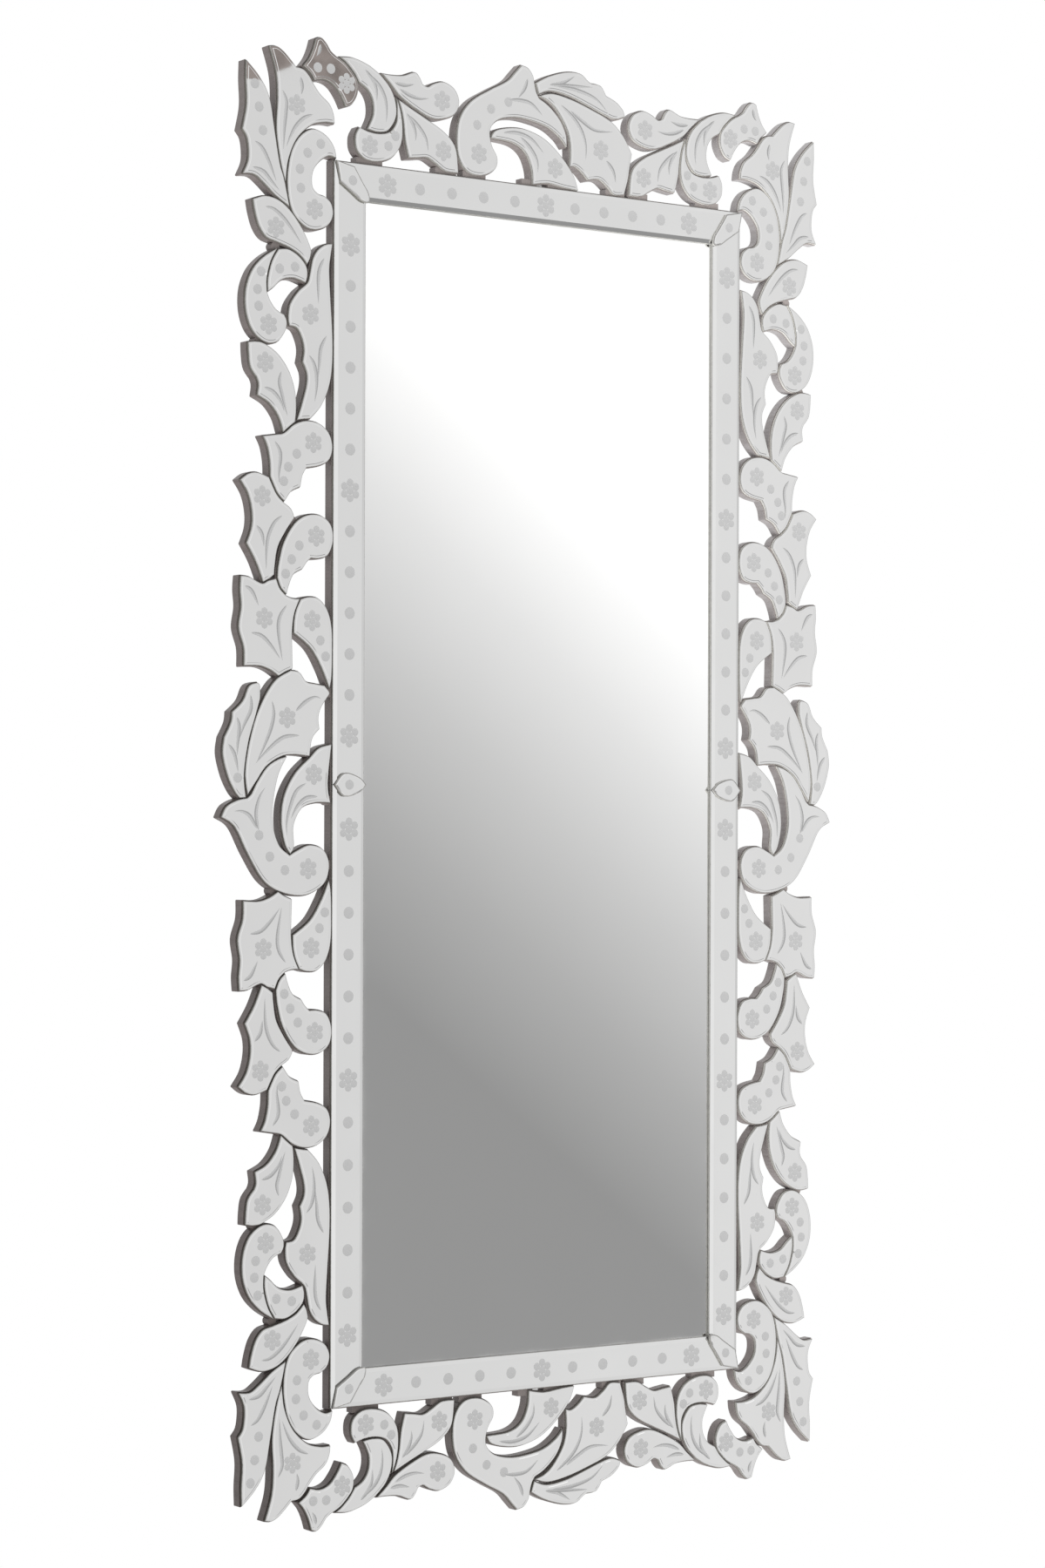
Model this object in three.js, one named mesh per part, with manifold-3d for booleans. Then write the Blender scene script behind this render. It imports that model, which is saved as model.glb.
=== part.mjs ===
// Tall wall mirror with a bevelled mirror-glass border and an openwork frame of mirror-glass leaves
// Millimetres, x right, y into the wall, z up; the origin is the middle of the flat back, on the wall

import * as THREE from 'three';
import { mergeVertices } from 'three/addons/utils/BufferGeometryUtils.js';
import Module from 'manifold-3d';

const wasm = await Module();
wasm.setup();

// Sizes of the frame, as seen from the front
const BORDER_WIDTH = 580;
const BORDER_HEIGHT = 1400;
const STRIP_WIDTH = 42;
const STRIP_BEVEL = 5.5;
const PLATE_OVERLAP = 10;

// Levels, measured out from the wall
const BOARD_FACE = 12;
const POCKET_FLOOR = 7.6;
const PLATE_BACK = 7.9;
const PLATE_FACE = 11.9;
const GLASS_BACK = 12.3;
const TILE_FACE = 16;
const STRIP_EDGE = 15;
const STRIP_FACE = 17;
const CLIP_BACK = 17.3;
const CLIP_FACE = 21;

// Clearances
const POCKET_CLEARANCE = 1;
const STRIP_JOINT = 0.2;
const BOARD_LEDGE = 2;

// Hanging slots in the back of the board
const SLOT_X = 275;
const SLOT_Z = 590;
const SLOT_RISE = 18;
const SLOT_NECK = 6;
const SLOT_HEAD = 14;
const SLOT_LIP = 3;
const SLOT_DEPTH = 8;

// How finely curves are followed, and what is too small to cut
const CURVE_STEPS = 8;
const CHORD_ERROR = 2.2;
const BOARD_CHORD_ERROR = 1.4;
const SMALLEST_HOLE = 250;
const SLOT_SIDES = 12;
const SHARPEST_MITRE = 0.4;
const WELD_DISTANCE = 1e-4;

// Outlines of the glass leaves in the upper left quarter and of the ornaments at the top and left.
// Every ring is a list of runs. A run starts at a sharp corner and passes smoothly through its points
// to the corner that starts the next run.
const OUTLINES = {
  outerPlume: [
    [[-405, 798.5], [-388, 782], [-375.5, 761], [-368.5, 725], [-362, 690], [-356, 672]],
    [[-349, 642.5], [-367, 653], [-383, 666], [-395, 673.5]],
    [[-409, 673], [-402, 690], [-403.5, 712]],
    [[-410, 722], [-404.5, 750], [-405.5, 778]],
  ],
  innerPlume: [
    [[-375, 817.5], [-366, 818.5], [-357, 814], [-348, 806]],
    [[-340.5, 798.5], [-331, 797], [-323.5, 790.5]],
    [[-318, 782.5], [-309, 772], [-297, 762.5], [-291.5, 752]],
    [[-290, 741.5], [-303, 741.5], [-321, 736], [-339.5, 719], [-350.5, 695]],
    [[-354, 669.5], [-360.4, 690], [-366, 726], [-364.5, 762], [-366.5, 790]],
  ],
  hook: [
    [[-314.5, 833.5], [-308, 835.5], [-301, 830], [-295, 822]],
    [[-288.5, 817.5], [-276.5, 811], [-266, 801], [-260, 792], [-259.5, 779], [-266, 767]],
    [[-275, 762.5], [-281, 773.5], [-291, 785], [-304, 789.5]],
    [[-316.5, 787], [-321.5, 794.5]],
    [[-331, 801.5], [-323.5, 810.5], [-318, 822]],
  ],
  curl: [
    [[-287.5, 702.5], [-297, 704.5], [-309, 697.5], [-318.5, 684], [-319, 668], [-312, 660.5]],
    [[-303, 658.5], [-294.5, 651.5], [-291.8, 639], [-298, 627], [-311, 620.7], [-325, 621], [-338, 629],
      [-346.3, 640], [-350.8, 658], [-351.3, 680], [-346, 705], [-334.5, 723], [-318, 732], [-301, 726.5],
      [-290.5, 714.5]],
  ],
  sideLeaf: [
    [[-396, 646], [-380, 651], [-363, 648], [-348, 638], [-333, 620.5], [-323, 603]],
    [[-320.3, 595], [-322, 587]],
    [[-325.5, 580.5], [-335.5, 590.3], [-349, 597], [-366, 602], [-379, 606], [-388, 617], [-393.5, 633]],
  ],
  innerCrescent: [
    [[-376.5, 545.5], [-376.5, 560], [-371.3, 579.5]],
    [[-363, 593.5], [-350, 594.5], [-336.5, 588.2], [-327, 578], [-325.3, 568]],
    [[-327.5, 559.5], [-343, 563.5], [-358, 560.5], [-369, 551]],
  ],
  outerCrescent: [
    [[-365, 594], [-382, 583.5], [-396.5, 568], [-404.8, 546], [-404.5, 521], [-396, 500.5], [-380, 489.3],
      [-364, 491], [-354, 503.5], [-352, 514]],
    [[-355.5, 521.5], [-366, 526.5], [-374, 536.5]],
    [[-378, 546], [-378, 561], [-373, 579.5]],
  ],
  longLeaf: [
    [[-292.5, 606], [-301.5, 604.3], [-311, 598], [-318, 587], [-321.5, 571], [-325, 559.5], [-337, 549],
      [-347.5, 534], [-350, 519]],
    [[-348.5, 510], [-338.5, 508], [-331.5, 496], [-329, 484]],
    [[-331, 471], [-325.5, 459], [-325.8, 445], [-331.5, 425]],
    [[-338, 405.8], [-329, 407.5]],
    [[-320.5, 408.5], [-307, 423], [-297, 444], [-292.5, 468], [-292, 500], [-294.5, 540], [-296.5, 575],
      [-294.8, 592]],
  ],
  notchedLeaf: [
    [[-401.5, 487.5], [-391, 488.8], [-380, 487], [-363, 477], [-349, 459.5], [-341, 438], [-339.5, 418]],
    [[-341, 403.3], [-348.5, 397.5]],
    [[-356, 391], [-362, 407.5], [-374, 422]],
    [[-389.5, 430], [-388, 442]],
    [[-390.5, 449.5], [-398.5, 460], [-401, 475]],
  ],
  spray: [
    [[-382, 385], [-366, 387.5], [-355, 390], [-341, 400.7], [-325, 405.5], [-308, 403], [-296, 393],
      [-291.7, 378], [-296, 364], [-308, 357]],
    [[-325.5, 353.5], [-331, 344]],
    [[-333.5, 331.5], [-345, 326]],
    [[-354, 314.3], [-363.5, 323.3]],
    [[-372.5, 340.5], [-373, 357], [-376.5, 374]],
  ],
  forkedLeaf: [
    [[-411, 335], [-401, 342], [-389, 344]],
    [[-374.5, 339.5], [-365, 322]],
    [[-355.5, 312.8], [-346.5, 307], [-342.3, 300]],
    [[-341.8, 296], [-353, 280.5], [-363, 262.5], [-366.5, 243]],
    [[-367.5, 232], [-374, 227.3]],
    [[-381.5, 223.5], [-391, 246]],
    [[-403, 265.5], [-396.5, 283], [-396, 301], [-401, 320]],
  ],
  spurLeaf: [
    [[-351, 211], [-358.3, 218]],
    [[-363, 229], [-361.5, 244], [-355, 268], [-341, 290], [-325, 300], [-307, 300.7], [-293.5, 291],
      [-290.7, 273], [-297, 257.5], [-309, 252.8]],
    [[-319.5, 252.8], [-325.5, 247]],
    [[-330, 240.5], [-342, 233.5], [-348.5, 220]],
  ],
  squareLeaf: [
    [[-410, 229], [-399, 228], [-388, 223], [-381.3, 221.5], [-374.5, 225]],
    [[-364.8, 227.5], [-360, 217]],
    [[-352, 209.5], [-343, 206.5]],
    [[-334, 206.3], [-340, 193], [-342.8, 181]],
    [[-344, 167]],
    [[-343, 128.5], [-353, 124.5]],
    [[-361, 120], [-372, 126.5], [-386, 130.5]],
    [[-405.5, 130], [-406, 150], [-412.5, 172], [-409.5, 195], [-411, 214]],
  ],
  drop: [
    [[-332.7, 206], [-322, 209], [-309, 207.5], [-298, 196], [-292, 176], [-291.2, 145], [-292, 120]],
    [[-294.5, 107.5], [-304, 129], [-319, 152]],
    [[-341.5, 168.5], [-341, 182], [-338.4, 193.7]],
  ],
  crestLeaf: [
    [[-283, 817], [-265, 818], [-245, 812.5]],
    [[-229.5, 803.8], [-216, 790.5], [-208.7, 775], [-208.2, 758], [-218.5, 742], [-233, 738.7]],
    [[-246, 740.5], [-238.5, 757], [-239, 773], [-246, 785]],
    [[-257.5, 792], [-264.4, 802], [-275.3, 812.3]],
  ],
  scroll: [
    [[-207, 780], [-201.7, 765], [-199, 746], [-201.5, 727], [-213, 712], [-231, 705.3], [-249, 706.3],
      [-260.5, 716], [-262, 731]],
    [[-257, 741], [-244, 737.3], [-229, 736.7], [-215.5, 740.8], [-207.3, 752], [-206, 765]],
  ],
  flowerLeaf: [
    [[-227, 805.3], [-213, 805], [-198, 806.5], [-183, 812], [-176.5, 808]],
    [[-172, 800], [-165, 797.5], [-156, 802.5], [-142, 805.8], [-127.5, 799], [-121.5, 785], [-127.5, 771],
      [-143, 764], [-160, 763], [-180, 770.5], [-202, 782.5], [-215, 795]],
  ],
  lowerLeaf: [
    [[-204.5, 778.5], [-186, 769.5], [-165, 760], [-146, 751], [-132, 740.5], [-125, 728]],
    [[-122.5, 704], [-140, 704.5], [-153, 711.5], [-165, 717], [-178, 715.5]],
    [[-190, 714], [-195, 733], [-197.2, 752], [-200, 766]],
  ],
  sideBigLeaf: [
    [[-345.5, 126.3], [-334, 124.5], [-325, 114.5], [-314, 112.3]],
    [[-301, 110.5], [-295, 104]],
    [[-294.5, 101.5], [-306, 85], [-309, 73]],
    [[-307.5, 62], [-317, 51]],
    [[-320.5, 31.5], [-340, 33], [-357, 30.8], [-376.3, 19.7], [-389.7, 2.4]],
    [[-400.5, -12.5], [-403.7, 12], [-398.3, 46], [-386.5, 82], [-367, 113]],
  ],
  sideSmallLeaf: [
    [[-403, -15.5], [-405.3, 10], [-399.8, 46], [-391, 74]],
    [[-385, 94], [-385, 108]],
    [[-388, 111.5], [-399, 107.5], [-407, 91]],
    [[-420.5, 78.5], [-422, 67]],
    [[-430.5, 50.5], [-432.5, 32], [-426, 8], [-417, -9]],
    [[-410.5, -16]],
  ],
  sideTulip: [
    [[-434, -37.5], [-427.5, -26], [-414, -19]],
    [[-401, -16.5], [-395.4, -11.3], [-388.3, 1.4], [-375.5, 18.3], [-362, 26.8]],
    [[-350, 30.3], [-361, 10], [-367.5, -20], [-368, -45], [-360, -68]],
    [[-346, -79.5], [-337, -74.5], [-320, -68], [-302, -73], [-294.3, -90], [-301, -111], [-325, -123.5],
      [-354, -121], [-379, -108], [-400, -78], [-417, -48]],
  ],
  sideCrescent: [
    [[-291.7, 45], [-308, 40.5]],
    [[-319.5, 30], [-339.5, 11.5], [-353.5, -14], [-357, -42], [-352, -67]],
    [[-345, -77.7], [-340.5, -69], [-341, -46], [-330, -26.5], [-312, -20.3]],
    [[-293, -20.3], [-296.3, 2]],
  ],
  topTulip: [
    [[-34, 838.5], [-25, 836.5], [-18, 828.5]],
    [[-15.8, 819.5], [-13.2, 810]],
    [[-9, 803], [6, 795], [21, 781], [29.5, 765]],
    [[31, 751], [21, 761.5], [0, 772.5], [-36, 777.5], [-62, 773.5], [-75, 764.5], [-78.7, 754],
      [-75.5, 740], [-68, 727], [-71, 714], [-88, 705], [-108, 706.5], [-120.5, 720], [-124.3, 742],
      [-120, 768], [-104, 789], [-78, 805], [-54, 818], [-42, 830]],
  ],
  topCrescent: [
    [[-77, 749.5], [-70, 758.8], [-48, 764.3], [-26, 764.3], [0, 756], [24, 738], [41, 718]],
    [[47.5, 701.5], [28, 703], [4, 705.5]],
    [[-17.5, 702], [-19, 720], [-28, 738], [-46, 747.5]],
  ],
  topBigLeaf: [
    [[-7.5, 804.8], [10, 810.7], [36, 807.3], [66, 798.8], [95, 788], [113, 773]],
    [[126, 753], [123, 738], [120, 721]],
    [[114.5, 703.5], [100, 702.5], [90, 711], [78, 718]],
    [[62, 715.5], [53, 724], [43, 729.5]],
    [[35.5, 728], [36.5, 749], [32, 770], [18, 791], [5, 801.5]],
  ],
  topSmallLeaf: [
    [[-13.7, 820.5], [5, 830.5], [30, 838.3], [50, 839], [61, 832]],
    [[66, 829.5], [80, 828]],
    [[88, 817.5], [103, 811.5], [113, 803]],
    [[115.5, 796], [102, 791.7], [86, 795], [60, 804.2], [34, 812], [8, 815]],
    [[-10.5, 809.3]],
  ],
};

// Leaves that share a joint make one solid, held together by spots of cement in the joint
const QUARTER_GROUPS = [
  { name: 'corner_plumes', leaves: ['outerPlume', 'innerPlume'], cement: [[-361, 690]] },
  { name: 'hook_and_crest_leaf', leaves: ['hook', 'crestLeaf'], cement: [[-265, 801.5]] },
  { name: 'scroll', leaves: ['scroll'], cement: [] },
  { name: 'flower_leaves', leaves: ['flowerLeaf', 'lowerLeaf'], cement: [[-184, 770]] },
  { name: 'curl_and_side_leaf', leaves: ['curl', 'sideLeaf'], cement: [[-342.5, 633.5]] },
  { name: 'crescents', leaves: ['innerCrescent', 'outerCrescent'], cement: [[-377.2, 560]] },
  { name: 'long_leaf', leaves: ['longLeaf'], cement: [] },
  { name: 'notched_leaf_and_spray', leaves: ['notchedLeaf', 'spray'], cement: [[-348, 396.5]] },
  { name: 'forked_leaf_and_spur', leaves: ['forkedLeaf', 'spurLeaf'], cement: [[-364, 243]] },
  { name: 'square_leaf_and_drop', leaves: ['squareLeaf', 'drop'], cement: [[-341.9, 182]] },
];
const SIDE_GROUPS = [
  {
    name: 'side_ornament',
    leaves: ['sideBigLeaf', 'sideSmallLeaf', 'sideTulip', 'sideCrescent'],
    cement: [[-399, 46], [-376, 19], [-320, 30.8]],
  },
];
const TOP_GROUPS = [
  {
    name: 'end_ornament',
    leaves: ['topBigLeaf', 'topSmallLeaf', 'topTulip', 'topCrescent'],
    cement: [[35, 809.6], [23.5, 781.5], [34.8, 728.3]],
  },
];
const CEMENT_RADIUS = 4.5;
const CEMENT_SIDES = 4;
const CEMENT_FACE = 15;

// Short tongues of board that tie the lowest leaves to the middle, given as left and right ends
const QUARTER_TONGUES = [[-259, -224], [-152, -123]];
const TOP_TONGUES = [[-114, -82], [-31, -10], [6, 46], [90, 118]];
const TONGUE_RISE = 8;

// Round webs of board where a wider gap between leaves, or between a leaf and the middle, is bridged
const QUARTER_WEBS = [[-291, 640], [-368, 598], [-391, 491], [-193, 775], [-291, 490]];
const SIDE_WEBS = [[-292, 103], [-369, -117], [-292, -18], [-292, -90]];
const WEB_RADIUS = 4;
const WEB_SIDES = 8;

// Corner clip, half of its outline from the outer corner inwards along the mitre, and across it
const CLIP_SHOULDER = [20.5, 13.4];
const CLIP_WAIST = [40, 9.4];
const CLIP_SHIN = [54, 6.6];
const CLIP_TOE = 61.5;

// Side clip, from the outer edge of the strip inwards, and half of its height
const SIDE_CLIP_BELLY = [13, 13.3];
const SIDE_CLIP_WAIST = [33, 8.5];

const BOARD_FINISH = { color: 0x4a3a35, roughness: 0.7, metalness: 0 };
const GLASS_FINISH = { color: 0xdcdbd9, roughness: 0.04, metalness: 1 };

// The copies that make up the frame, with the ending of their names and the ways they are flipped
const QUARTERS = [
  { ending: 'top_left', across: false, over: false },
  { ending: 'top_right', across: true, over: false },
  { ending: 'bottom_left', across: false, over: true },
  { ending: 'bottom_right', across: true, over: true },
];
const SIDES = [{ ending: 'left', across: false, over: false }, { ending: 'right', across: true, over: false }];
const ENDS = [{ ending: 'top', across: false, over: false }, { ending: 'bottom', across: false, over: true }];

const part = new THREE.Group();
part.name = 'wall_mirror';

function toVectors(pairs) {
  return pairs.map(([x, z]) => new THREE.Vector2(x, z));
}

// Distance of a point from the line through two others
function distanceFromChord(point, start, end) {
  const along = end.clone().sub(start);
  const length = along.length();
  if (length === 0) {
    return point.distanceTo(start);
  }
  return Math.abs(along.cross(point.clone().sub(start))) / length;
}

// Keep only the points that hold a curve within the chord error
function thinned(points, chordError) {
  const start = points[0];
  const end = points[points.length - 1];
  let furthest = 0;
  let worst = 0;
  for (let i = 1; i < points.length - 1; i += 1) {
    const distance = distanceFromChord(points[i], start, end);
    if (distance > worst) {
      worst = distance;
      furthest = i;
    }
  }
  if (worst <= chordError) {
    return [start, end];
  }
  const before = thinned(points.slice(0, furthest + 1), chordError);
  const after = thinned(points.slice(furthest), chordError);
  return [...before.slice(0, -1), ...after];
}

function counterClockwise(ring) {
  return THREE.ShapeUtils.isClockWise(ring) ? [...ring].reverse() : ring;
}

// Outline through a ring of runs
function ringOfRuns(runs, chordError) {
  const ring = runs.flatMap((run, index) => {
    const nextCorner = runs[(index + 1) % runs.length][0];
    const controls = toVectors([...run, nextCorner]);
    if (controls.length === 2) {
      return controls.slice(0, 1);
    }
    const curve = new THREE.SplineCurve(controls);
    return thinned(curve.getPoints(CURVE_STEPS * (controls.length - 1)), chordError).slice(0, -1);
  });
  return counterClockwise(ring);
}

function rectangle(left, right, low, high) {
  return toVectors([[left, low], [right, low], [right, high], [left, high]]);
}

function disc(x, z, radius, sides) {
  return new THREE.EllipseCurve(x, z, radius, radius).getPoints(sides).slice(0, -1);
}

// Outline with its edges moved outwards, and less than fully moved at very sharp corners
function grown(ring, ledge) {
  const outward = (start, end) => new THREE.Vector2(end.y - start.y, start.x - end.x).normalize();
  return ring.map((corner, index) => {
    const before = outward(ring.at(index - 1), corner);
    const after = outward(corner, ring[(index + 1) % ring.length]);
    const middle = before.clone().add(after).normalize();
    const reach = ledge / Math.max(middle.dot(after), SHARPEST_MITRE);
    return middle.multiplyScalar(reach).add(corner);
  });
}

function flippedRing(ring, { across, over }) {
  const flip = new THREE.Vector2(across ? -1 : 1, over ? -1 : 1);
  return counterClockwise(ring.map((point) => point.clone().multiply(flip)));
}

// A slab of the given outline between two levels out from the wall
function slab(ring, back, face) {
  const extrusion = { depth: face - back, bevelEnabled: false };
  const geometry = new THREE.ExtrudeGeometry(new THREE.Shape(ring), extrusion);
  geometry.translate(0, 0, back);
  geometry.rotateX(Math.PI / 2);
  return toManifold(geometry);
}

// One solid from several slabs of the same thickness
function joined(rings, back, face) {
  return wasm.Manifold.union(rings.map((ring) => slab(ring, back, face)));
}

function toManifold(geometry) {
  const bare = geometry.clone();
  bare.deleteAttribute('normal');
  bare.deleteAttribute('uv');
  const welded = mergeVertices(bare, WELD_DISTANCE);
  const triVerts = new Uint32Array(welded.index.array);
  const vertProperties = new Float32Array(welded.attributes.position.array);
  return new wasm.Manifold(new wasm.Mesh({ numProp: 3, vertProperties, triVerts }));
}

function toGeometry(solid) {
  const mesh = solid.getMesh();
  const geometry = new THREE.BufferGeometry();
  geometry.setAttribute('position', new THREE.BufferAttribute(new Float32Array(mesh.vertProperties), 3));
  geometry.setIndex(new THREE.BufferAttribute(new Uint32Array(mesh.triVerts), 1));
  return geometry;
}

// Outlines of a slab's face, counter-clockwise, and of the holes in it, clockwise
function outlinesOf(solid, face) {
  const { vertProperties, triVerts } = solid.getMesh();
  const level = (corner) => -vertProperties[3 * corner + 1];
  const edges = [];
  for (let i = 0; i < triVerts.length; i += 3) {
    const [a, b, c] = triVerts.slice(i, i + 3);
    if (Math.min(level(a), level(b), level(c)) > face - WELD_DISTANCE) {
      edges.push([a, b], [b, c], [c, a]);
    }
  }
  const known = new Set(edges.map(String));
  const following = new Map(edges.filter(([start, end]) => !known.has(`${end},${start}`)));
  const outlines = [];
  while (following.size > 0) {
    const outline = [];
    let [corner] = following.keys();
    while (following.has(corner)) {
      const next = following.get(corner);
      following.delete(corner);
      outline.push(new THREE.Vector2(vertProperties[3 * corner], vertProperties[3 * corner + 2]));
      corner = next;
    }
    outlines.push(outline);
  }
  return outlines;
}

// Copy of a geometry flipped left to right, top to bottom, or both, with its faces still pointing out
function flipped(geometry, { across, over }) {
  const copy = geometry.clone().scale(across ? -1 : 1, 1, over ? -1 : 1);
  if (across !== over) {
    copy.index.array.reverse();
  }
  return copy;
}

function addNode(name, geometry, finish) {
  geometry.computeVertexNormals();
  const mesh = new THREE.Mesh(geometry, new THREE.MeshStandardMaterial(finish));
  mesh.name = name;
  part.add(mesh);
}

function addCopies(name, solid, copies) {
  const geometry = toGeometry(solid);
  copies.forEach((copy) => addNode(`${name}_${copy.ending}`, flipped(geometry, copy), GLASS_FINISH));
}

// The leaves of a group with the cement in their joints, which stays below their faces
function leafGroup({ leaves, cement }) {
  const glass = joined(leaves.map((leaf) => ringOfRuns(OUTLINES[leaf], CHORD_ERROR)), GLASS_BACK, TILE_FACE);
  const spots = cement.map(([x, z]) => disc(x, z, CEMENT_RADIUS, CEMENT_SIDES));
  return spots.length === 0 ? glass : glass.add(joined(spots, GLASS_BACK, CEMENT_FACE));
}

// Keyhole slot in the back of the board, its narrow neck at the wall and its wide head behind a lip
function keyholeSlot(x) {
  const slotRings = (radius) => [
    disc(x, SLOT_Z, radius, SLOT_SIDES),
    disc(x, SLOT_Z + SLOT_RISE, radius, SLOT_SIDES),
    rectangle(x - radius, x + radius, SLOT_Z, SLOT_Z + SLOT_RISE),
  ];
  const mouth = disc(x, SLOT_Z, SLOT_HEAD / 2, SLOT_SIDES);
  const entry = joined([...slotRings(SLOT_NECK / 2), mouth], -1, SLOT_LIP + 1);
  const head = joined(slotRings(SLOT_HEAD / 2), SLOT_LIP, SLOT_DEPTH);
  return entry.add(head);
}

// Outlines that overlap to make the board: the middle, a ledge round every leaf, tongues and webs
function boardRings() {
  const foot = BORDER_HEIGHT / 2;
  const middle = rectangle(-BORDER_WIDTH / 2, BORDER_WIDTH / 2, -foot, foot);
  const leafRings = (groups) => groups
    .flatMap((group) => group.leaves)
    .map((leaf) => grown(ringOfRuns(OUTLINES[leaf], CHORD_ERROR), BOARD_LEDGE));
  const tongue = ([left, right]) => rectangle(left, right, foot - 1, foot + TONGUE_RISE);
  const web = ([x, z]) => disc(x, z, WEB_RADIUS, WEB_SIDES);
  const copied = (rings, copies) => copies.flatMap((copy) => rings.map((ring) => flippedRing(ring, copy)));
  const quarter = [...leafRings(QUARTER_GROUPS), ...QUARTER_TONGUES.map(tongue), ...QUARTER_WEBS.map(web)];
  const side = [...leafRings(SIDE_GROUPS), ...SIDE_WEBS.map(web)];
  const top = [...leafRings(TOP_GROUPS), ...TOP_TONGUES.map(tongue)];
  return [
    grown(middle, BOARD_LEDGE),
    ...copied(quarter, QUARTERS),
    ...copied(side, SIDES),
    ...copied(top, ENDS),
  ];
}

// Backing board, cut from one sheet without tiny holes, and pocketed for the mirror plate
function backingBoard() {
  const outlines = outlinesOf(joined(boardRings(), 0, BOARD_FACE), BOARD_FACE)
    .filter((outline) => Math.abs(THREE.ShapeUtils.area(outline)) > SMALLEST_HOLE)
    .map((outline) => thinned([...outline, outline[0]], BOARD_CHORD_ERROR).slice(0, -1));
  const rim = outlines.find((outline) => !THREE.ShapeUtils.isClockWise(outline));
  const holes = outlines.filter((outline) => outline !== rim);
  const sheet = slab(rim, 0, BOARD_FACE).subtract(joined(holes, -1, BOARD_FACE + 1));
  const pocket = slab(grown(plateRing, POCKET_CLEARANCE), POCKET_FLOOR, BOARD_FACE + 1);
  return sheet.subtract(pocket).subtract(keyholeSlot(-SLOT_X)).subtract(keyholeSlot(SLOT_X));
}

// One border strip, bevelled along both edges. It lies along the x axis with its outer edge at z = 0,
// and it is mitred at its right end, and at its left end too unless that end is square.
function borderStrip(left, right, squareLeft) {
  const profile = new THREE.Shape(toVectors([
    [0, GLASS_BACK],
    [STRIP_WIDTH, GLASS_BACK],
    [STRIP_WIDTH, STRIP_EDGE],
    [STRIP_WIDTH - STRIP_BEVEL, STRIP_FACE],
    [STRIP_BEVEL, STRIP_FACE],
    [0, STRIP_EDGE],
  ]));
  const geometry = new THREE.ExtrudeGeometry(profile, { depth: 1, bevelEnabled: false });
  const position = geometry.attributes.position;
  for (let i = 0; i < position.count; i += 1) {
    const inward = position.getX(i);
    const level = position.getY(i);
    const mitredRight = right - inward - STRIP_JOINT;
    const mitredLeft = left + inward + STRIP_JOINT;
    const leftEnd = squareLeft ? left + STRIP_JOINT : mitredLeft;
    const along = position.getZ(i) > 0 ? leftEnd : mitredRight;
    position.setXYZ(i, along, -level, -inward);
  }
  return geometry;
}

// Corner clip, a leaf-shaped plate that points inwards along the mitre
function cornerClip() {
  const acrossMitre = ([along, across]) => [along, -across];
  const runs = [
    [[0, 0]],
    [CLIP_SHOULDER, CLIP_WAIST, CLIP_SHIN, [CLIP_TOE, 0], acrossMitre(CLIP_SHIN), acrossMitre(CLIP_WAIST)],
    [acrossMitre(CLIP_SHOULDER)],
  ];
  const corner = new THREE.Vector2(-BORDER_WIDTH / 2, BORDER_HEIGHT / 2);
  const start = new THREE.Vector2();
  const ring = ringOfRuns(runs, CHORD_ERROR).map((point) => point.rotateAround(start, -Math.PI / 4).add(corner));
  return slab(ring, CLIP_BACK, CLIP_FACE);
}

// Side clip, a pointed oval across the strip where its two halves meet
function sideClip() {
  const upper = [SIDE_CLIP_BELLY, SIDE_CLIP_WAIST];
  const lower = upper.map(([along, half]) => [along, -half]).reverse();
  const runs = [[[0, 0], ...upper], [[STRIP_WIDTH, 0], ...lower]];
  const edge = new THREE.Vector2(-BORDER_WIDTH / 2, 0);
  const ring = ringOfRuns(runs, CHORD_ERROR).map((point) => point.add(edge));
  return slab(ring, CLIP_BACK, CLIP_FACE);
}

const plateHalfWidth = BORDER_WIDTH / 2 - STRIP_WIDTH + PLATE_OVERLAP;
const plateHalfHeight = BORDER_HEIGHT / 2 - STRIP_WIDTH + PLATE_OVERLAP;
const plateRing = rectangle(-plateHalfWidth, plateHalfWidth, -plateHalfHeight, plateHalfHeight);
const mirrorPlate = slab(plateRing, PLATE_BACK, PLATE_FACE);

// Long strip across the top, and the upper half of the strip up the left side
const topStrip = borderStrip(-BORDER_WIDTH / 2, BORDER_WIDTH / 2, false).translate(0, 0, BORDER_HEIGHT / 2);
const sideStrip = borderStrip(0, BORDER_HEIGHT / 2, true)
  .rotateY(-Math.PI / 2)
  .translate(-BORDER_WIDTH / 2, 0, 0);

addNode('backing_board', toGeometry(backingBoard()), BOARD_FINISH);
addNode('mirror_plate', toGeometry(mirrorPlate), GLASS_FINISH);
addCopies('border_strip', toManifold(topStrip), ENDS);
addCopies('side_strip', toManifold(sideStrip), QUARTERS);
addCopies('corner_clip', cornerClip(), QUARTERS);
addCopies('side_clip', sideClip(), SIDES);
QUARTER_GROUPS.forEach((group) => addCopies(group.name, leafGroup(group), QUARTERS));
SIDE_GROUPS.forEach((group) => addCopies(group.name, leafGroup(group), SIDES));
TOP_GROUPS.forEach((group) => addCopies(group.name, leafGroup(group), ENDS));

export default part;
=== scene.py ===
"""Looks of a tall wall mirror with an openwork frame of mirror-glass leaves.

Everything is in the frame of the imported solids: x right, y into the wall, z up, origin on the wall.
Sizes of the mirror are in millimetres and become metres when a mesh is made. The studio is in metres.
"""

import math

import bmesh
import bpy
import numpy as np
from mathutils import Matrix, Vector
from mathutils.geometry import delaunay_2d_cdt


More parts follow.
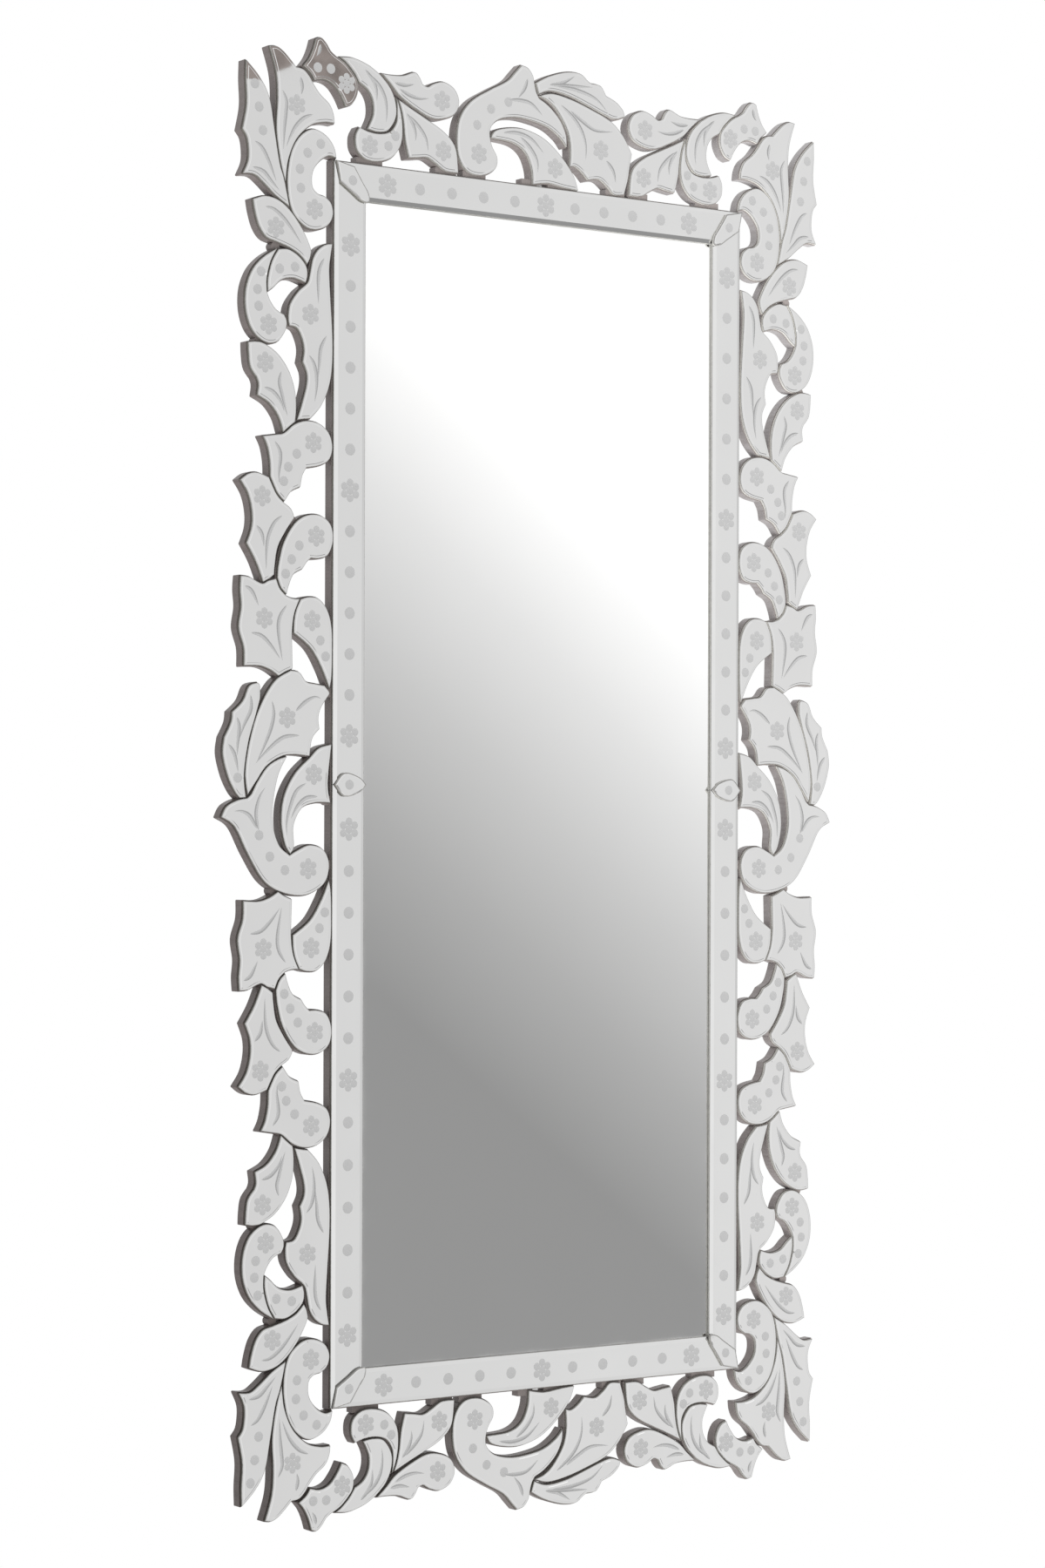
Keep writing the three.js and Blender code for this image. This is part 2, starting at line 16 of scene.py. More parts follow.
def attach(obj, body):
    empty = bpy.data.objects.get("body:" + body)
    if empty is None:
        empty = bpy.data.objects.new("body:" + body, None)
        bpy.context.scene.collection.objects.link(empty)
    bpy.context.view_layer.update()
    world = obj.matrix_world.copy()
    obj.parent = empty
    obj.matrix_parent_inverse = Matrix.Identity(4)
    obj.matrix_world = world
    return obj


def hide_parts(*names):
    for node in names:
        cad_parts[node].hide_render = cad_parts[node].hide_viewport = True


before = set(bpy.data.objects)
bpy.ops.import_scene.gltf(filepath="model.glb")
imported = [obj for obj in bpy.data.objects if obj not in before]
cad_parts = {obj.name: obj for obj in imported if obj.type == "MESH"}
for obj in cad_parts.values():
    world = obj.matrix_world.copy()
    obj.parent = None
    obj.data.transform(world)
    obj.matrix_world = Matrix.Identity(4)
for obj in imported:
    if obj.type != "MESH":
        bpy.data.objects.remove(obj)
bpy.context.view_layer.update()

MM = 0.001

# Sizes of the frame, as seen from the front
BORDER_WIDTH = 580
BORDER_HEIGHT = 1400
STRIP_WIDTH = 42
PLATE_OVERLAP = 10

# Levels, measured out from the wall
BOARD_FACE = 12
POCKET_FLOOR = 7.6
PLATE_BACK = 7.9
PLATE_FACE = 11.9
GLASS_BACK = 12.3
TILE_FACE = 16
STRIP_FACE = 17
CLIP_BACK = 17.3
CLIP_FACE = 21

# Kinds of surface on a piece of glass, in the order of its materials
FACE, BEVEL, GROUND, SHADE, RIM, EDGE, BACK = range(7)

# Edges of the glass: distances in from the edge, drops below the face there, and the kinds that start there
TILE_BEVEL = [(0, 0.65, RIM), (0.7, 0.3, FACE), (2.5, 0.3, BEVEL), (3.2, 0, FACE)]
STRIP_BEVEL = [(0, 2.15, RIM), (0.6, 1.9, BEVEL), (4.9, 0, FACE)]
CLIP_BEVEL = [(0, 1.0, RIM), (1.3, 0.5, BEVEL), (2.2, 0, FACE)]
PLATE_BEVEL = [(0, 0.3, RIM), (0.5, 0.1, BEVEL), (1.2, 0, FACE)]

# Clearances and hanging slots
POCKET_CLEARANCE = 1
STRIP_JOINT = 0.2
BOARD_LEDGE = 1.25
SLOT_X = 275
SLOT_Z = 590
SLOT_RISE = 18
SLOT_NECK = 6
SLOT_HEAD = 14
SLOT_DEPTH = 8

# How finely outlines are followed
SPAN_STEPS = 12
OUTLINE_SPACING = 2.4
CLIP_SPACING = 1.2
BOARD_SPACING = 3.6
ROUND_SIDES = 20

# How outlines are moved in: the bend of a hollow corner that gets an arc, the points of that arc,
# the least cosine for a mitre, and how far a point may stray from its level line
HOLLOW_BEND = 0.3
HOLLOW_STEPS = 6
SHARPEST_MITRE = 0.2
LEVEL_SLACK = 0.1

# How outlines are filled with triangles, and the angle from which an edge stays crisp
INSIDE_ONLY = 1
GLASS_TOLERANCE = 1e-5
BOARD_TOLERANCE = 1e-4
SHARP_ANGLE = math.radians(35)

# Ground marks
DOT_RADIUS = 5.7
STRIP_DOT_RADIUS = 6.8
PETAL_COUNT = 6
PETAL_RADIUS = 4.0
PETAL_REACH = 7.8
FLOWER_EYE = 4.2
STRIP_FLOWER_SCALE = 1.12
VEIN_WIDTH = 4.6
VEIN_SPACING = 3.0
VEIN_LEAD = 0.7
VEIN_FULLNESS = 0.8
SHADE_START = 0.2
MARK_DEPTH = 0.2

# Rings of points inside a dot: shares of its radius and of its depth, and the number of points
DOT_RINGS = [(0.75, 0.7, 12), (0.42, 0.95, 8)]

# Outlines of the glass leaves in the upper left quarter and of the ornaments at the top and left.
# Every ring is a list of runs. A run starts at a sharp corner and passes smoothly through its points
# to the corner that starts the next run.
OUTLINES = {
    "outer_plume": [
        [(-405, 798.5), (-388, 782), (-375.5, 761), (-368.5, 725), (-362, 690), (-356, 672)],
        [(-349, 642.5), (-367, 653), (-383, 666), (-395, 673.5)],
        [(-409, 673), (-402, 690), (-403.5, 712)],
        [(-410, 722), (-404.5, 750), (-405.5, 778)],
    ],
    "inner_plume": [
        [(-375, 817.5), (-366, 818.5), (-357, 814), (-348, 806)],
        [(-340.5, 798.5), (-331, 797), (-323.5, 790.5)],
        [(-318, 782.5), (-309, 772), (-297, 762.5), (-291.5, 752)],
        [(-290, 741.5), (-303, 741.5), (-321, 736), (-339.5, 719), (-350.5, 695)],
        [(-354, 669.5), (-360.4, 690), (-366, 726), (-364.5, 762), (-366.5, 790)],
    ],
    "hook": [
        [(-314.5, 833.5), (-308, 835.5), (-301, 830), (-295, 822)],
        [(-288.5, 817.5), (-276.5, 811), (-266, 801), (-260, 792), (-259.5, 779), (-266, 767)],
        [(-275, 762.5), (-281, 773.5), (-291, 785), (-304, 789.5)],
        [(-316.5, 787), (-321.5, 794.5)],
        [(-331, 801.5), (-323.5, 810.5), (-318, 822)],
    ],
    "curl": [
        [(-287.5, 702.5), (-297, 704.5), (-309, 697.5), (-318.5, 684), (-319, 668), (-312, 660.5)],
        [(-303, 658.5), (-294.5, 651.5), (-291.8, 639), (-298, 627), (-311, 620.7), (-325, 621),
         (-338, 629), (-346.3, 640), (-350.8, 658), (-351.3, 680), (-346, 705), (-334.5, 723), (-318, 732),
         (-301, 726.5), (-290.5, 714.5)],
    ],
    "side_leaf": [
        [(-396, 646), (-380, 651), (-363, 648), (-348, 638), (-333, 620.5), (-323, 603)],
        [(-320.3, 595), (-322, 587)],
        [(-325.5, 580.5), (-335.5, 590.3), (-349, 597), (-366, 602), (-379, 606), (-388, 617),
         (-393.5, 633)],
    ],
    "inner_crescent": [
        [(-376.5, 545.5), (-376.5, 560), (-371.3, 579.5)],
        [(-363, 593.5), (-350, 594.5), (-336.5, 588.2), (-327, 578), (-325.3, 568)],
        [(-327.5, 559.5), (-343, 563.5), (-358, 560.5), (-369, 551)],
    ],
    "outer_crescent": [
        [(-365, 594), (-382, 583.5), (-396.5, 568), (-404.8, 546), (-404.5, 521), (-396, 500.5),
         (-380, 489.3), (-364, 491), (-354, 503.5), (-352, 514)],
        [(-355.5, 521.5), (-366, 526.5), (-374, 536.5)],
        [(-378, 546), (-378, 561), (-373, 579.5)],
    ],
    "long_leaf": [
        [(-292.5, 606), (-301.5, 604.3), (-311, 598), (-318, 587), (-321.5, 571), (-325, 559.5),
         (-337, 549), (-347.5, 534), (-350, 519)],
        [(-348.5, 510), (-338.5, 508), (-331.5, 496), (-329, 484)],
        [(-331, 471), (-325.5, 459), (-325.8, 445), (-331.5, 425)],
        [(-338, 405.8), (-329, 407.5)],
        [(-320.5, 408.5), (-307, 423), (-297, 444), (-292.5, 468), (-292, 500), (-294.5, 540),
         (-296.5, 575), (-294.8, 592)],
    ],
    "notched_leaf": [
        [(-401.5, 487.5), (-391, 488.8), (-380, 487), (-363, 477), (-349, 459.5), (-341, 438),
         (-339.5, 418)],
        [(-341, 403.3), (-348.5, 397.5)],
        [(-356, 391), (-362, 407.5), (-374, 422)],
        [(-389.5, 430), (-388, 442)],
        [(-390.5, 449.5), (-398.5, 460), (-401, 475)],
    ],
    "spray": [
        [(-382, 385), (-366, 387.5), (-355, 390), (-341, 400.7), (-325, 405.5), (-308, 403), (-296, 393),
         (-291.7, 378), (-296, 364), (-308, 357)],
        [(-325.5, 353.5), (-331, 344)],
        [(-333.5, 331.5), (-345, 326)],
        [(-354, 314.3), (-363.5, 323.3)],
        [(-372.5, 340.5), (-373, 357), (-376.5, 374)],
    ],
    "forked_leaf": [
        [(-411, 335), (-401, 342), (-389, 344)],
        [(-374.5, 339.5), (-365, 322)],
        [(-355.5, 312.8), (-346.5, 307), (-342.3, 300)],
        [(-341.8, 296), (-353, 280.5), (-363, 262.5), (-366.5, 243)],
        [(-367.5, 232), (-374, 227.3)],
        [(-381.5, 223.5), (-391, 246)],
        [(-403, 265.5), (-396.5, 283), (-396, 301), (-401, 320)],
    ],
    "spur_leaf": [
        [(-351, 211), (-358.3, 218)],
        [(-363, 229), (-361.5, 244), (-355, 268), (-341, 290), (-325, 300), (-307, 300.7), (-293.5, 291),
         (-290.7, 273), (-297, 257.5), (-309, 252.8)],
        [(-319.5, 252.8), (-325.5, 247)],
        [(-330, 240.5), (-342, 233.5), (-348.5, 220)],
    ],
    "square_leaf": [
        [(-410, 229), (-399, 228), (-388, 223), (-381.3, 221.5), (-374.5, 225)],
        [(-364.8, 227.5), (-360, 217)],
        [(-352, 209.5), (-343, 206.5)],
        [(-334, 206.3), (-340, 193), (-342.8, 181)],
        [(-344, 167)],
        [(-343, 128.5), (-353, 124.5)],
        [(-361, 120), (-372, 126.5), (-386, 130.5)],
        [(-405.5, 130), (-406, 150), (-412.5, 172), (-409.5, 195), (-411, 214)],
    ],
    "drop": [
        [(-332.7, 206), (-322, 209), (-309, 207.5), (-298, 196), (-292, 176), (-291.2, 145), (-292, 120)],
        [(-294.5, 107.5), (-304, 129), (-319, 152)],
        [(-341.5, 168.5), (-341, 182), (-338.4, 193.7)],
    ],
    "crest_leaf": [
        [(-283, 817), (-265, 818), (-245, 812.5)],
        [(-229.5, 803.8), (-216, 790.5), (-208.7, 775), (-208.2, 758), (-218.5, 742), (-233, 738.7)],
        [(-246, 740.5), (-238.5, 757), (-239, 773), (-246, 785)],
        [(-257.5, 792), (-264.4, 802), (-275.3, 812.3)],
    ],
    "scroll": [
        [(-207, 780), (-201.7, 765), (-199, 746), (-201.5, 727), (-213, 712), (-231, 705.3), (-249, 706.3),
         (-260.5, 716), (-262, 731)],
        [(-257, 741), (-244, 737.3), (-229, 736.7), (-215.5, 740.8), (-207.3, 752), (-206, 765)],
    ],
    "flower_leaf": [
        [(-227, 805.3), (-213, 805), (-198, 806.5), (-183, 812), (-176.5, 808)],
        [(-172, 800), (-165, 797.5), (-156, 802.5), (-142, 805.8), (-127.5, 799), (-121.5, 785),
         (-127.5, 771), (-143, 764), (-160, 763), (-180, 770.5), (-202, 782.5), (-215, 795)],
    ],
    "lower_leaf": [
        [(-204.5, 778.5), (-186, 769.5), (-165, 760), (-146, 751), (-132, 740.5), (-125, 728)],
        [(-122.5, 704), (-140, 704.5), (-153, 711.5), (-165, 717), (-178, 715.5)],
        [(-190, 714), (-195, 733), (-197.2, 752), (-200, 766)],
    ],
    "side_big_leaf": [
        [(-345.5, 126.3), (-334, 124.5), (-325, 114.5), (-314, 112.3)],
        [(-301, 110.5), (-295, 104)],
        [(-294.5, 101.5), (-306, 85), (-309, 73)],
        [(-307.5, 62), (-317, 51)],
        [(-320.5, 31.5), (-340, 33), (-357, 30.8), (-376.3, 19.7), (-389.7, 2.4)],
        [(-400.5, -12.5), (-403.7, 12), (-398.3, 46), (-386.5, 82), (-367, 113)],
    ],
    "side_small_leaf": [
        [(-403, -15.5), (-405.3, 10), (-399.8, 46), (-391, 74)],
        [(-385, 94), (-385, 108)],
        [(-388, 111.5), (-399, 107.5), (-407, 91)],
        [(-420.5, 78.5), (-422, 67)],
        [(-430.5, 50.5), (-432.5, 32), (-426, 8), (-417, -9)],
        [(-410.5, -16)],
    ],
    "side_tulip": [
        [(-434, -37.5), (-427.5, -26), (-414, -19)],
        [(-401, -16.5), (-395.4, -11.3), (-388.3, 1.4), (-375.5, 18.3), (-362, 26.8)],
        [(-350, 30.3), (-361, 10), (-367.5, -20), (-368, -45), (-360, -68)],
        [(-346, -79.5), (-337, -74.5), (-320, -68), (-302, -73), (-294.3, -90), (-301, -111),
         (-325, -123.5), (-354, -121), (-379, -108), (-400, -78), (-417, -48)],
    ],
    "side_crescent": [
        [(-291.7, 45), (-308, 40.5)],
        [(-319.5, 30), (-339.5, 11.5), (-353.5, -14), (-357, -42), (-352, -67)],
        [(-345, -77.7), (-340.5, -69), (-341, -46), (-330, -26.5), (-312, -20.3)],
        [(-293, -20.3), (-296.3, 2)],
    ],
    "top_tulip": [
        [(-34, 838.5), (-25, 836.5), (-18, 828.5)],
        [(-15.8, 819.5), (-13.2, 810)],
        [(-9, 803), (6, 795), (21, 781), (29.5, 765)],
        [(31, 751), (21, 761.5), (0, 772.5), (-36, 777.5), (-62, 773.5), (-75, 764.5), (-78.7, 754),
         (-75.5, 740), (-68, 727), (-71, 714), (-88, 705), (-108, 706.5), (-120.5, 720), (-124.3, 742),
         (-120, 768), (-104, 789), (-78, 805), (-54, 818), (-42, 830)],
    ],
    "top_crescent": [
        [(-77, 749.5), (-70, 758.8), (-48, 764.3), (-26, 764.3), (0, 756), (24, 738), (41, 718)],
        [(47.5, 701.5), (28, 703), (4, 705.5)],
        [(-17.5, 702), (-19, 720), (-28, 738), (-46, 747.5)],
    ],
    "top_big_leaf": [
        [(-8.6, 806), (10, 810.7), (36, 807.3), (66, 798.8), (95, 788), (113, 773)],
        [(126, 753), (123, 738), (120, 721)],
        [(114.5, 703.5), (100, 702.5), (90, 711), (78, 718)],
        [(62, 715.5), (53, 724), (43, 729.5)],
        [(35.5, 728), (36.5, 749), (32, 770), (18, 791), (5, 801.5)],
    ],
    "top_small_leaf": [
        [(-13.7, 820.5), (5, 830.5), (30, 838.3), (50, 839), (61, 832)],
        [(66, 829.5), (80, 828)],
        [(88, 817.5), (103, 811.5), (113, 803)],
        [(115.5, 796), (102, 791.7), (86, 795), (60, 803.6), (34, 811.2), (8, 814)],
        [(-9.5, 808.2)],
    ],
}

# Ground into the leaves: a flower in most of them, dots, and veins that taper along their points
FLOWERS = {
    "inner_plume": (-340, 756.4), "hook": (-274.5, 788), "curl": (-316.3, 642.5),
    "side_leaf": (-366.7, 617.5), "outer_crescent": (-375.8, 509), "long_leaf": (-321.3, 524.7),
    "notched_leaf": (-380, 466.7), "spray": (-317, 381.7), "forked_leaf": (-383.3, 318.3),
    "spur_leaf": (-312.7, 277.3), "square_leaf": (-380, 183.3), "drop": (-317.8, 182.7),
    "scroll": (-243.3, 721.7), "flower_leaf": (-145.3, 783.8), "lower_leaf": (-143.3, 726.7),
    "top_tulip": (-94, 729), "top_crescent": (14, 724), "top_big_leaf": (80, 752.6),
    "side_tulip": (-322, -94.4), "side_crescent": (-315, 11), "side_big_leaf": (-350, 73.6),
}
DOTS = {
    "outer_plume": [(-394.5, 773.6), (-389, 748.5), (-384, 723)],
    "hook": [(-312.7, 801.3), (-295.5, 802)],
    "curl": [(-308.5, 716.4), (-325.8, 704.5), (-335.8, 685.5), (-334.5, 664.5)],
    "inner_crescent": [(-361.7, 572), (-341.7, 575.8)],
    "outer_crescent": [(-385.8, 566.7), (-390.3, 546.7), (-388.7, 528.3)],
    "spray": [(-338.7, 367.8), (-349.8, 352.5), (-355.5, 336.3)],
    "spur_leaf": [(-335, 265.8), (-345, 250), (-352.7, 233.6)],
    "drop": [(-307, 161), (-300, 143.3)],
    "scroll": [(-218.3, 724), (-208.8, 736.3)],
    "top_tulip": [(-77.4, 782.6), (-96.6, 762), (-53, 793.4)],
    "side_tulip": [(-386, -57.4), (-372, -81), (-352.4, -96)],
    "side_small_leaf": [(-413.6, 6)],
}
VEINS = {
    "outer_plume": [
        [(-394.5, 710), (-385.5, 704.5), (-376.4, 690), (-366.4, 668)],
        [(-397.3, 681), (-383.6, 678), (-372.7, 668), (-361.8, 658)],
    ],
    "inner_plume": [
        [(-335.5, 788), (-333, 777), (-334.5, 768)],
        [(-359, 771), (-353.6, 759), (-354.5, 744.5), (-356.4, 726), (-357.3, 704.5)],
        [(-319, 748), (-331, 742.7), (-341.8, 731.8), (-349, 719), (-353.6, 708)],
    ],
    "hook": [[(-309, 828), (-311, 819), (-314.5, 813.6)]],
    "side_leaf": [[(-380.8, 639), (-370, 637.5), (-358.3, 630), (-346.7, 618.3), (-333.3, 601.7)]],
    "long_leaf": [
        [(-303.3, 589), (-309, 578.3), (-311.3, 565), (-310.8, 536.7)],
        [(-300, 502.5), (-307.5, 488), (-309.5, 470), (-311.5, 452)],
        [(-323.3, 479), (-316.7, 470), (-313.3, 456.7), (-313.3, 441.7), (-315.8, 426.7)],
    ],
    "notched_leaf": [
        [(-359, 458.3), (-361.7, 446.7), (-358.3, 433.3), (-350.8, 408.3)],
        [(-381.7, 439), (-370, 435), (-360, 425), (-355, 413.3)],
    ],
    "spray": [[(-367.5, 380), (-360.8, 370), (-360, 360), (-362, 345), (-361.5, 333)]],
    "forked_leaf": [
        [(-391, 285.5), (-383.6, 276.4), (-381, 262)],
        [(-357.3, 298), (-367.3, 290), (-374.5, 276.4), (-377.3, 262), (-378, 236.4)],
    ],
    "square_leaf": [
        [(-405.5, 218), (-396.4, 212.7), (-387.3, 196.4)],
        [(-351, 199), (-360, 185.5), (-361.8, 169), (-356.4, 136.4)],
        [(-397.3, 166.4), (-383.6, 163.6), (-371, 152.7), (-359, 138)],
    ],
    "crest_leaf": [
        [(-250, 806.7), (-240, 796.7), (-235, 786.7), (-234, 773)],
        [(-246.7, 803), (-231.7, 791.7), (-223.3, 778.3), (-220.8, 763.3), (-221.7, 750)],
    ],
    "flower_leaf": [
        [(-210, 797), (-196.7, 795.5), (-183.3, 798.3)],
        [(-203.3, 790.8), (-190, 785), (-176.7, 782.8), (-163.3, 784.5)],
    ],
    "lower_leaf": [
        [(-194.2, 764), (-186.7, 755), (-181.7, 743.3), (-181.7, 733.3)],
        [(-190, 761.7), (-176.7, 750), (-167.5, 738.3), (-164.2, 723.3)],
    ],
    "top_tulip": [
        [(-26, 824), (-30, 812), (-39, 800)],
        [(-52, 796), (-36, 797.4), (-20, 795), (-4, 783)],
    ],
    "top_crescent": [
        [(-60, 757), (-40, 759), (-20, 754), (-2, 739)],
        [(-36, 755), (-22, 744), (-12, 730), (-11, 716)],
    ],
    "top_big_leaf": [
        [(22, 799), (40, 786), (52, 772), (58, 756), (58, 738)],
        [(36, 794), (52, 784), (72, 775), (98, 776)],
        [(88, 741), (98, 730), (102, 716)],
    ],
    "top_small_leaf": [
        [(6, 821), (24, 825), (42, 835)],
        [(6, 820.5), (40, 823), (68, 825)],
        [(16, 820), (44, 819), (72, 812), (90, 798)],
    ],
    "side_tulip": [
        [(-386.4, -52), (-390, -34), (-386, -16), (-378, -4)],
        [(-389, -50), (-398, -36), (-408, -31), (-418, -31)],
    ],
    "side_crescent": [
        [(-325, 1), (-338, -8), (-346, -26), (-350, -42), (-350, -58)],
        [(-310, -14), (-324, -15), (-336, -24), (-345, -39)],
    ],
    "side_big_leaf": [
        [(-370, 92), (-367.6, 76), (-374, 54), (-390, 22)],
        [(-334, 54), (-354, 52), (-372, 40), (-391, 22)],
        [(-339, 81), (-326, 92), (-314, 97.6), (-306, 96)],
    ],
    "side_small_leaf": [
        [(-397.6, 98), (-397, 82), (-406, 64), (-412, 48)],
        [(-415, 73), (-412, 62), (-414, 42), (-414.4, 30)],
        [(-426, 43), (-418, 32), (-413, 12)],
    ],
}

# Leaves that share a solid, by the name of the solid's node
QUARTER_GROUPS = {
    "corner_plumes": ["outer_plume", "inner_plume"],
    "hook_and_crest_leaf": ["hook", "crest_leaf"],
    "scroll": ["scroll"],
    "flower_leaves": ["flower_leaf", "lower_leaf"],
    "curl_and_side_leaf": ["curl", "side_leaf"],
    "crescents": ["inner_crescent", "outer_crescent"],
    "long_leaf": ["long_leaf"],
    "notched_leaf_and_spray": ["notched_leaf", "spray"],
    "forked_leaf_and_spur": ["forked_leaf", "spur_leaf"],
    "square_leaf_and_drop": ["square_leaf", "drop"],
}
SIDE_GROUPS = {"side_ornament": ["side_big_leaf", "side_small_leaf", "side_tulip", "side_crescent"]}
TOP_GROUPS = {"end_ornament": ["top_big_leaf", "top_small_leaf", "top_tulip", "top_crescent"]}

# Copies of what is drawn once, and whether each is flipped left to right and top to bottom
QUARTERS = {
    "top_left": (False, False),
    "top_right": (True, False),
    "bottom_left": (False, True),
    "bottom_right": (True, True),
}
SIDES = {"left": (False, False), "right": (True, False)}
ENDS = {"top": (False, False), "bottom": (False, True)}

# Tongues of board that tie the lowest leaves to the middle, as left and right ends, and round webs
QUARTER_TONGUES = [(-259, -224), (-152, -123)]
TOP_TONGUES = [(-114, -82), (-31, -10), (6, 46), (90, 118)]
TONGUE_FOOT = 1
TONGUE_RISE = 8
QUARTER_WEBS = [(-291, 640), (-365, 597), (-387, 489.5), (-193, 775), (-291, 490), (-342, 293.5)]
SIDE_WEBS = [(-292, 103), (-365, -119), (-292, -18), (-292, -90)]
WEB_RADIUS = 4

# Corner clip, half of its outline from the outer corner inwards along the mitre, and across it
CLIP_SHOULDER = (20.5, 13.4)
CLIP_WAIST = (40, 9.4)
CLIP_SHIN = (54, 6.6)
CLIP_TOE = 61.5

# Side clip, from the outer edge of the strip inwards, and half of its height
SIDE_CLIP_BELLY = (13, 13.3)
SIDE_CLIP_WAIST = (33, 8.5)
SIDE_CLIP_DOT = 19

# Flowers along the strips and the number of dots between two of them. On the side strips
# they are counted from the middle of the mirror outwards, on the end strips from left to right.
SIDE_STRIP_FLOWERS = {
    "top_left": [55, 331, 607],
    "top_right": [51, 327, 619],
    "bottom_left": [50, 332, 619],
    "bottom_right": [47.5, 351, 633],
}
SIDE_STRIP_DOTS = 5
END_STRIP_FLOWERS = {"top": [-220, 0, 210.5], "bottom": [-220, 0, 220]}
END_STRIP_DOTS = 4

# Range that the noise mostly covers, the range it is narrowed to where painted light runs
# across the mirror, and the rise of that painted light per metre along x, y and z: colours grow lighter
# towards the upper right, as if lit more strongly there
NOISE_RANGE = (0.3, 0.7)
DRIFT_NOISE = (0.45, 0.55)
PAINTED_LIGHT_DRIFT = (0.6, 0, 0.16)

# Camera, level, to the left of the mirror and a little below its middle
CAMERA_PLACE = (-2.500, -3.531, -0.071)
CAMERA_YAW = math.radians(35.1)
CAMERA_ROLL = math.radians(0.187)
IMAGE_HEIGHT = 1800
FOCAL_PIXELS = 4245
HORIZON_BELOW_CENTRE = 74
SENSOR = 36

# Pale floor, and the distance of the cards that the glass reflects
FLOOR_LEVEL = -1.2
FLOOR_SIDE = 3
FLOOR_FRONT = -3.5
FLOOR_BACK = 0.5
CARD_DISTANCE = 3.0

# Soft light from below and in front, which brightens the undersides of the leaves
LIFT_TILT = math.radians(130)
LIFT_STRENGTH = 3.3
LIFT_ANGLE = math.radians(40)

# Gradient across the mirror from its dim lower left to its bright upper right, along z + lean times x
GRADIENT_LEAN = 0.78
GRADIENT_LOW = -410
GRADIENT_HIGH = 350
GRADIENT_STOPS = [(0.0, 0.315), (0.26, 0.45), (0.5, 0.615), (0.75, 0.82), (1.0, 1.09)]

# Dark card high up, shown by the upper left leaves: its corners as seen in the glass
DARK_CARD = [
    (-415, 777), (-385, 778), (-380, 789), (-366, 790), (-350, 797), (-345, 803), (-331, 800.5),
    (-322, 793.5), (-317, 785.5), (-304, 787), (-291, 782), (-281, 771), (-276, 759), (-262, 759),
    (-258.8, 779), (-259, 792), (-265, 801.7), (-276, 811.8), (-288, 818), (-288, 860), (-415, 860),
]
DARK_CARD_COLOUR = (0.27, 0.235, 0.22)
DARK_CARD_STOPS = [(0.3, 0.75), (0.7, 1.25)]
DARK_CARD_NOISE = 9.0

# Brightness of the room that the glass reflects, across from left to right and up from below
ROOM_ACROSS = [(0.62, 0.81), (0.72, 0.7), (0.757, 0.7), (0.82, 0.775), (0.94, 0.775), (1.0, 0.6)]
ROOM_UP = [(0.19, 0.95), (0.235, 0.4), (0.29, 0.4), (0.315, 1.0)]

# Places of the colour sockets on a mix node
MIX_FIRST = 6
MIX_SECOND = 7
MIX_RESULT = 2


# Flat outlines, as complex numbers x + z i


def to_plane(pairs):
    return np.array([complex(x, z) for x, z in pairs])


def evenly_spaced(points, spacing):
    """The same line with points about one spacing apart, both ends kept."""
    lengths = np.concatenate([[0], np.cumsum(np.abs(np.diff(points)))])
    count = max(1, round(lengths[-1] / spacing))
    places = np.linspace(0, lengths[-1], count + 1)
    return np.interp(places, lengths, points.real) + 1j * np.interp(places, lengths, points.imag)


def smooth_line(points, spacing):
    """A smooth curve through the points, with a cubic span from each to the next."""
    padded = np.concatenate([points[:1], points, points[-1:]])
    t = np.linspace(0, 1, SPAN_STEPS, endpoint=False)
    spans = []
    for before, start, end, after in zip(padded, padded[1:], padded[2:], padded[3:]):
        leave = (end - before) / 2
        arrive = (after - start) / 2
        cubic = 2 * start - 2 * end + leave + arrive
        square = -3 * start + 3 * end - 2 * leave - arrive
        spans.append(cubic * t**3 + square * t**2 + leave * t + start)
    return evenly_spaced(np.concatenate([*spans, points[-1:]]), spacing)


def closed_edges(ring):
    """Starts and ends of all edges of an outline."""
    return ring, np.roll(ring, -1)


def counter_clockwise(ring):
    starts, ends = closed_edges(ring)
    signed_area = np.sum((np.conj(starts) * ends).imag) / 2
    return ring if signed_area > 0 else ring[::-1]


def ring_of_runs(runs, spacing):
    """A closed outline that is smooth along each run."""
    lines = []
    for run, next_run in zip(runs, [*runs[1:], runs[0]]):
        lines.append(smooth_line(to_plane([*run, next_run[0]]), spacing)[:-1])
    return counter_clockwise(np.concatenate(lines))


def circle(centre, radius, sides=ROUND_SIDES):
    turns = np.arange(sides) / sides
    return centre + radius * np.exp(2j * math.pi * turns)


def rectangle(left, right, low, high):
    return to_plane([(left, low), (right, low), (right, high), (left, high)])


def centred_rectangle(half_width, half_height):
    return rectangle(-half_width, half_width, -half_height, half_height)


def distance_to_edges(points, starts, ends):
    """Distance of each point from the nearest of the edges."""
    along = ends - starts
    reach = points[:, None] - starts[None, :]
    share = np.clip((reach * np.conj(along)).real / np.abs(along) ** 2, 0, 1)
    return np.abs(reach - share * along).min(axis=1)


def moved_in(ring, width):
    """The outline's corner points moved in by a width, with an arc round each hollow corner."""
    before = ring - np.roll(ring, 1)
    after = np.roll(before, -1)
    before = before / np.abs(before)
    after = after / np.abs(after)
    bends = np.angle(after / before)
    moved = []
    for corner, start, bend in zip(ring, 1j * before, bends):
        if bend > -HOLLOW_BEND:
            mitre = max(math.cos(bend / 2), SHARPEST_MITRE)
            moved.append(corner + start * np.exp(0.5j * bend) * width / mitre)
        else:
            arc = np.exp(1j * bend * np.linspace(0, 1, HOLLOW_STEPS))
            moved.extend(corner + start * width * arc)
    return np.array(moved)


def grown(ring, ledge):
    """The outline moved out by the ledge."""
    return moved_in(ring[::-1], ledge)[::-1]


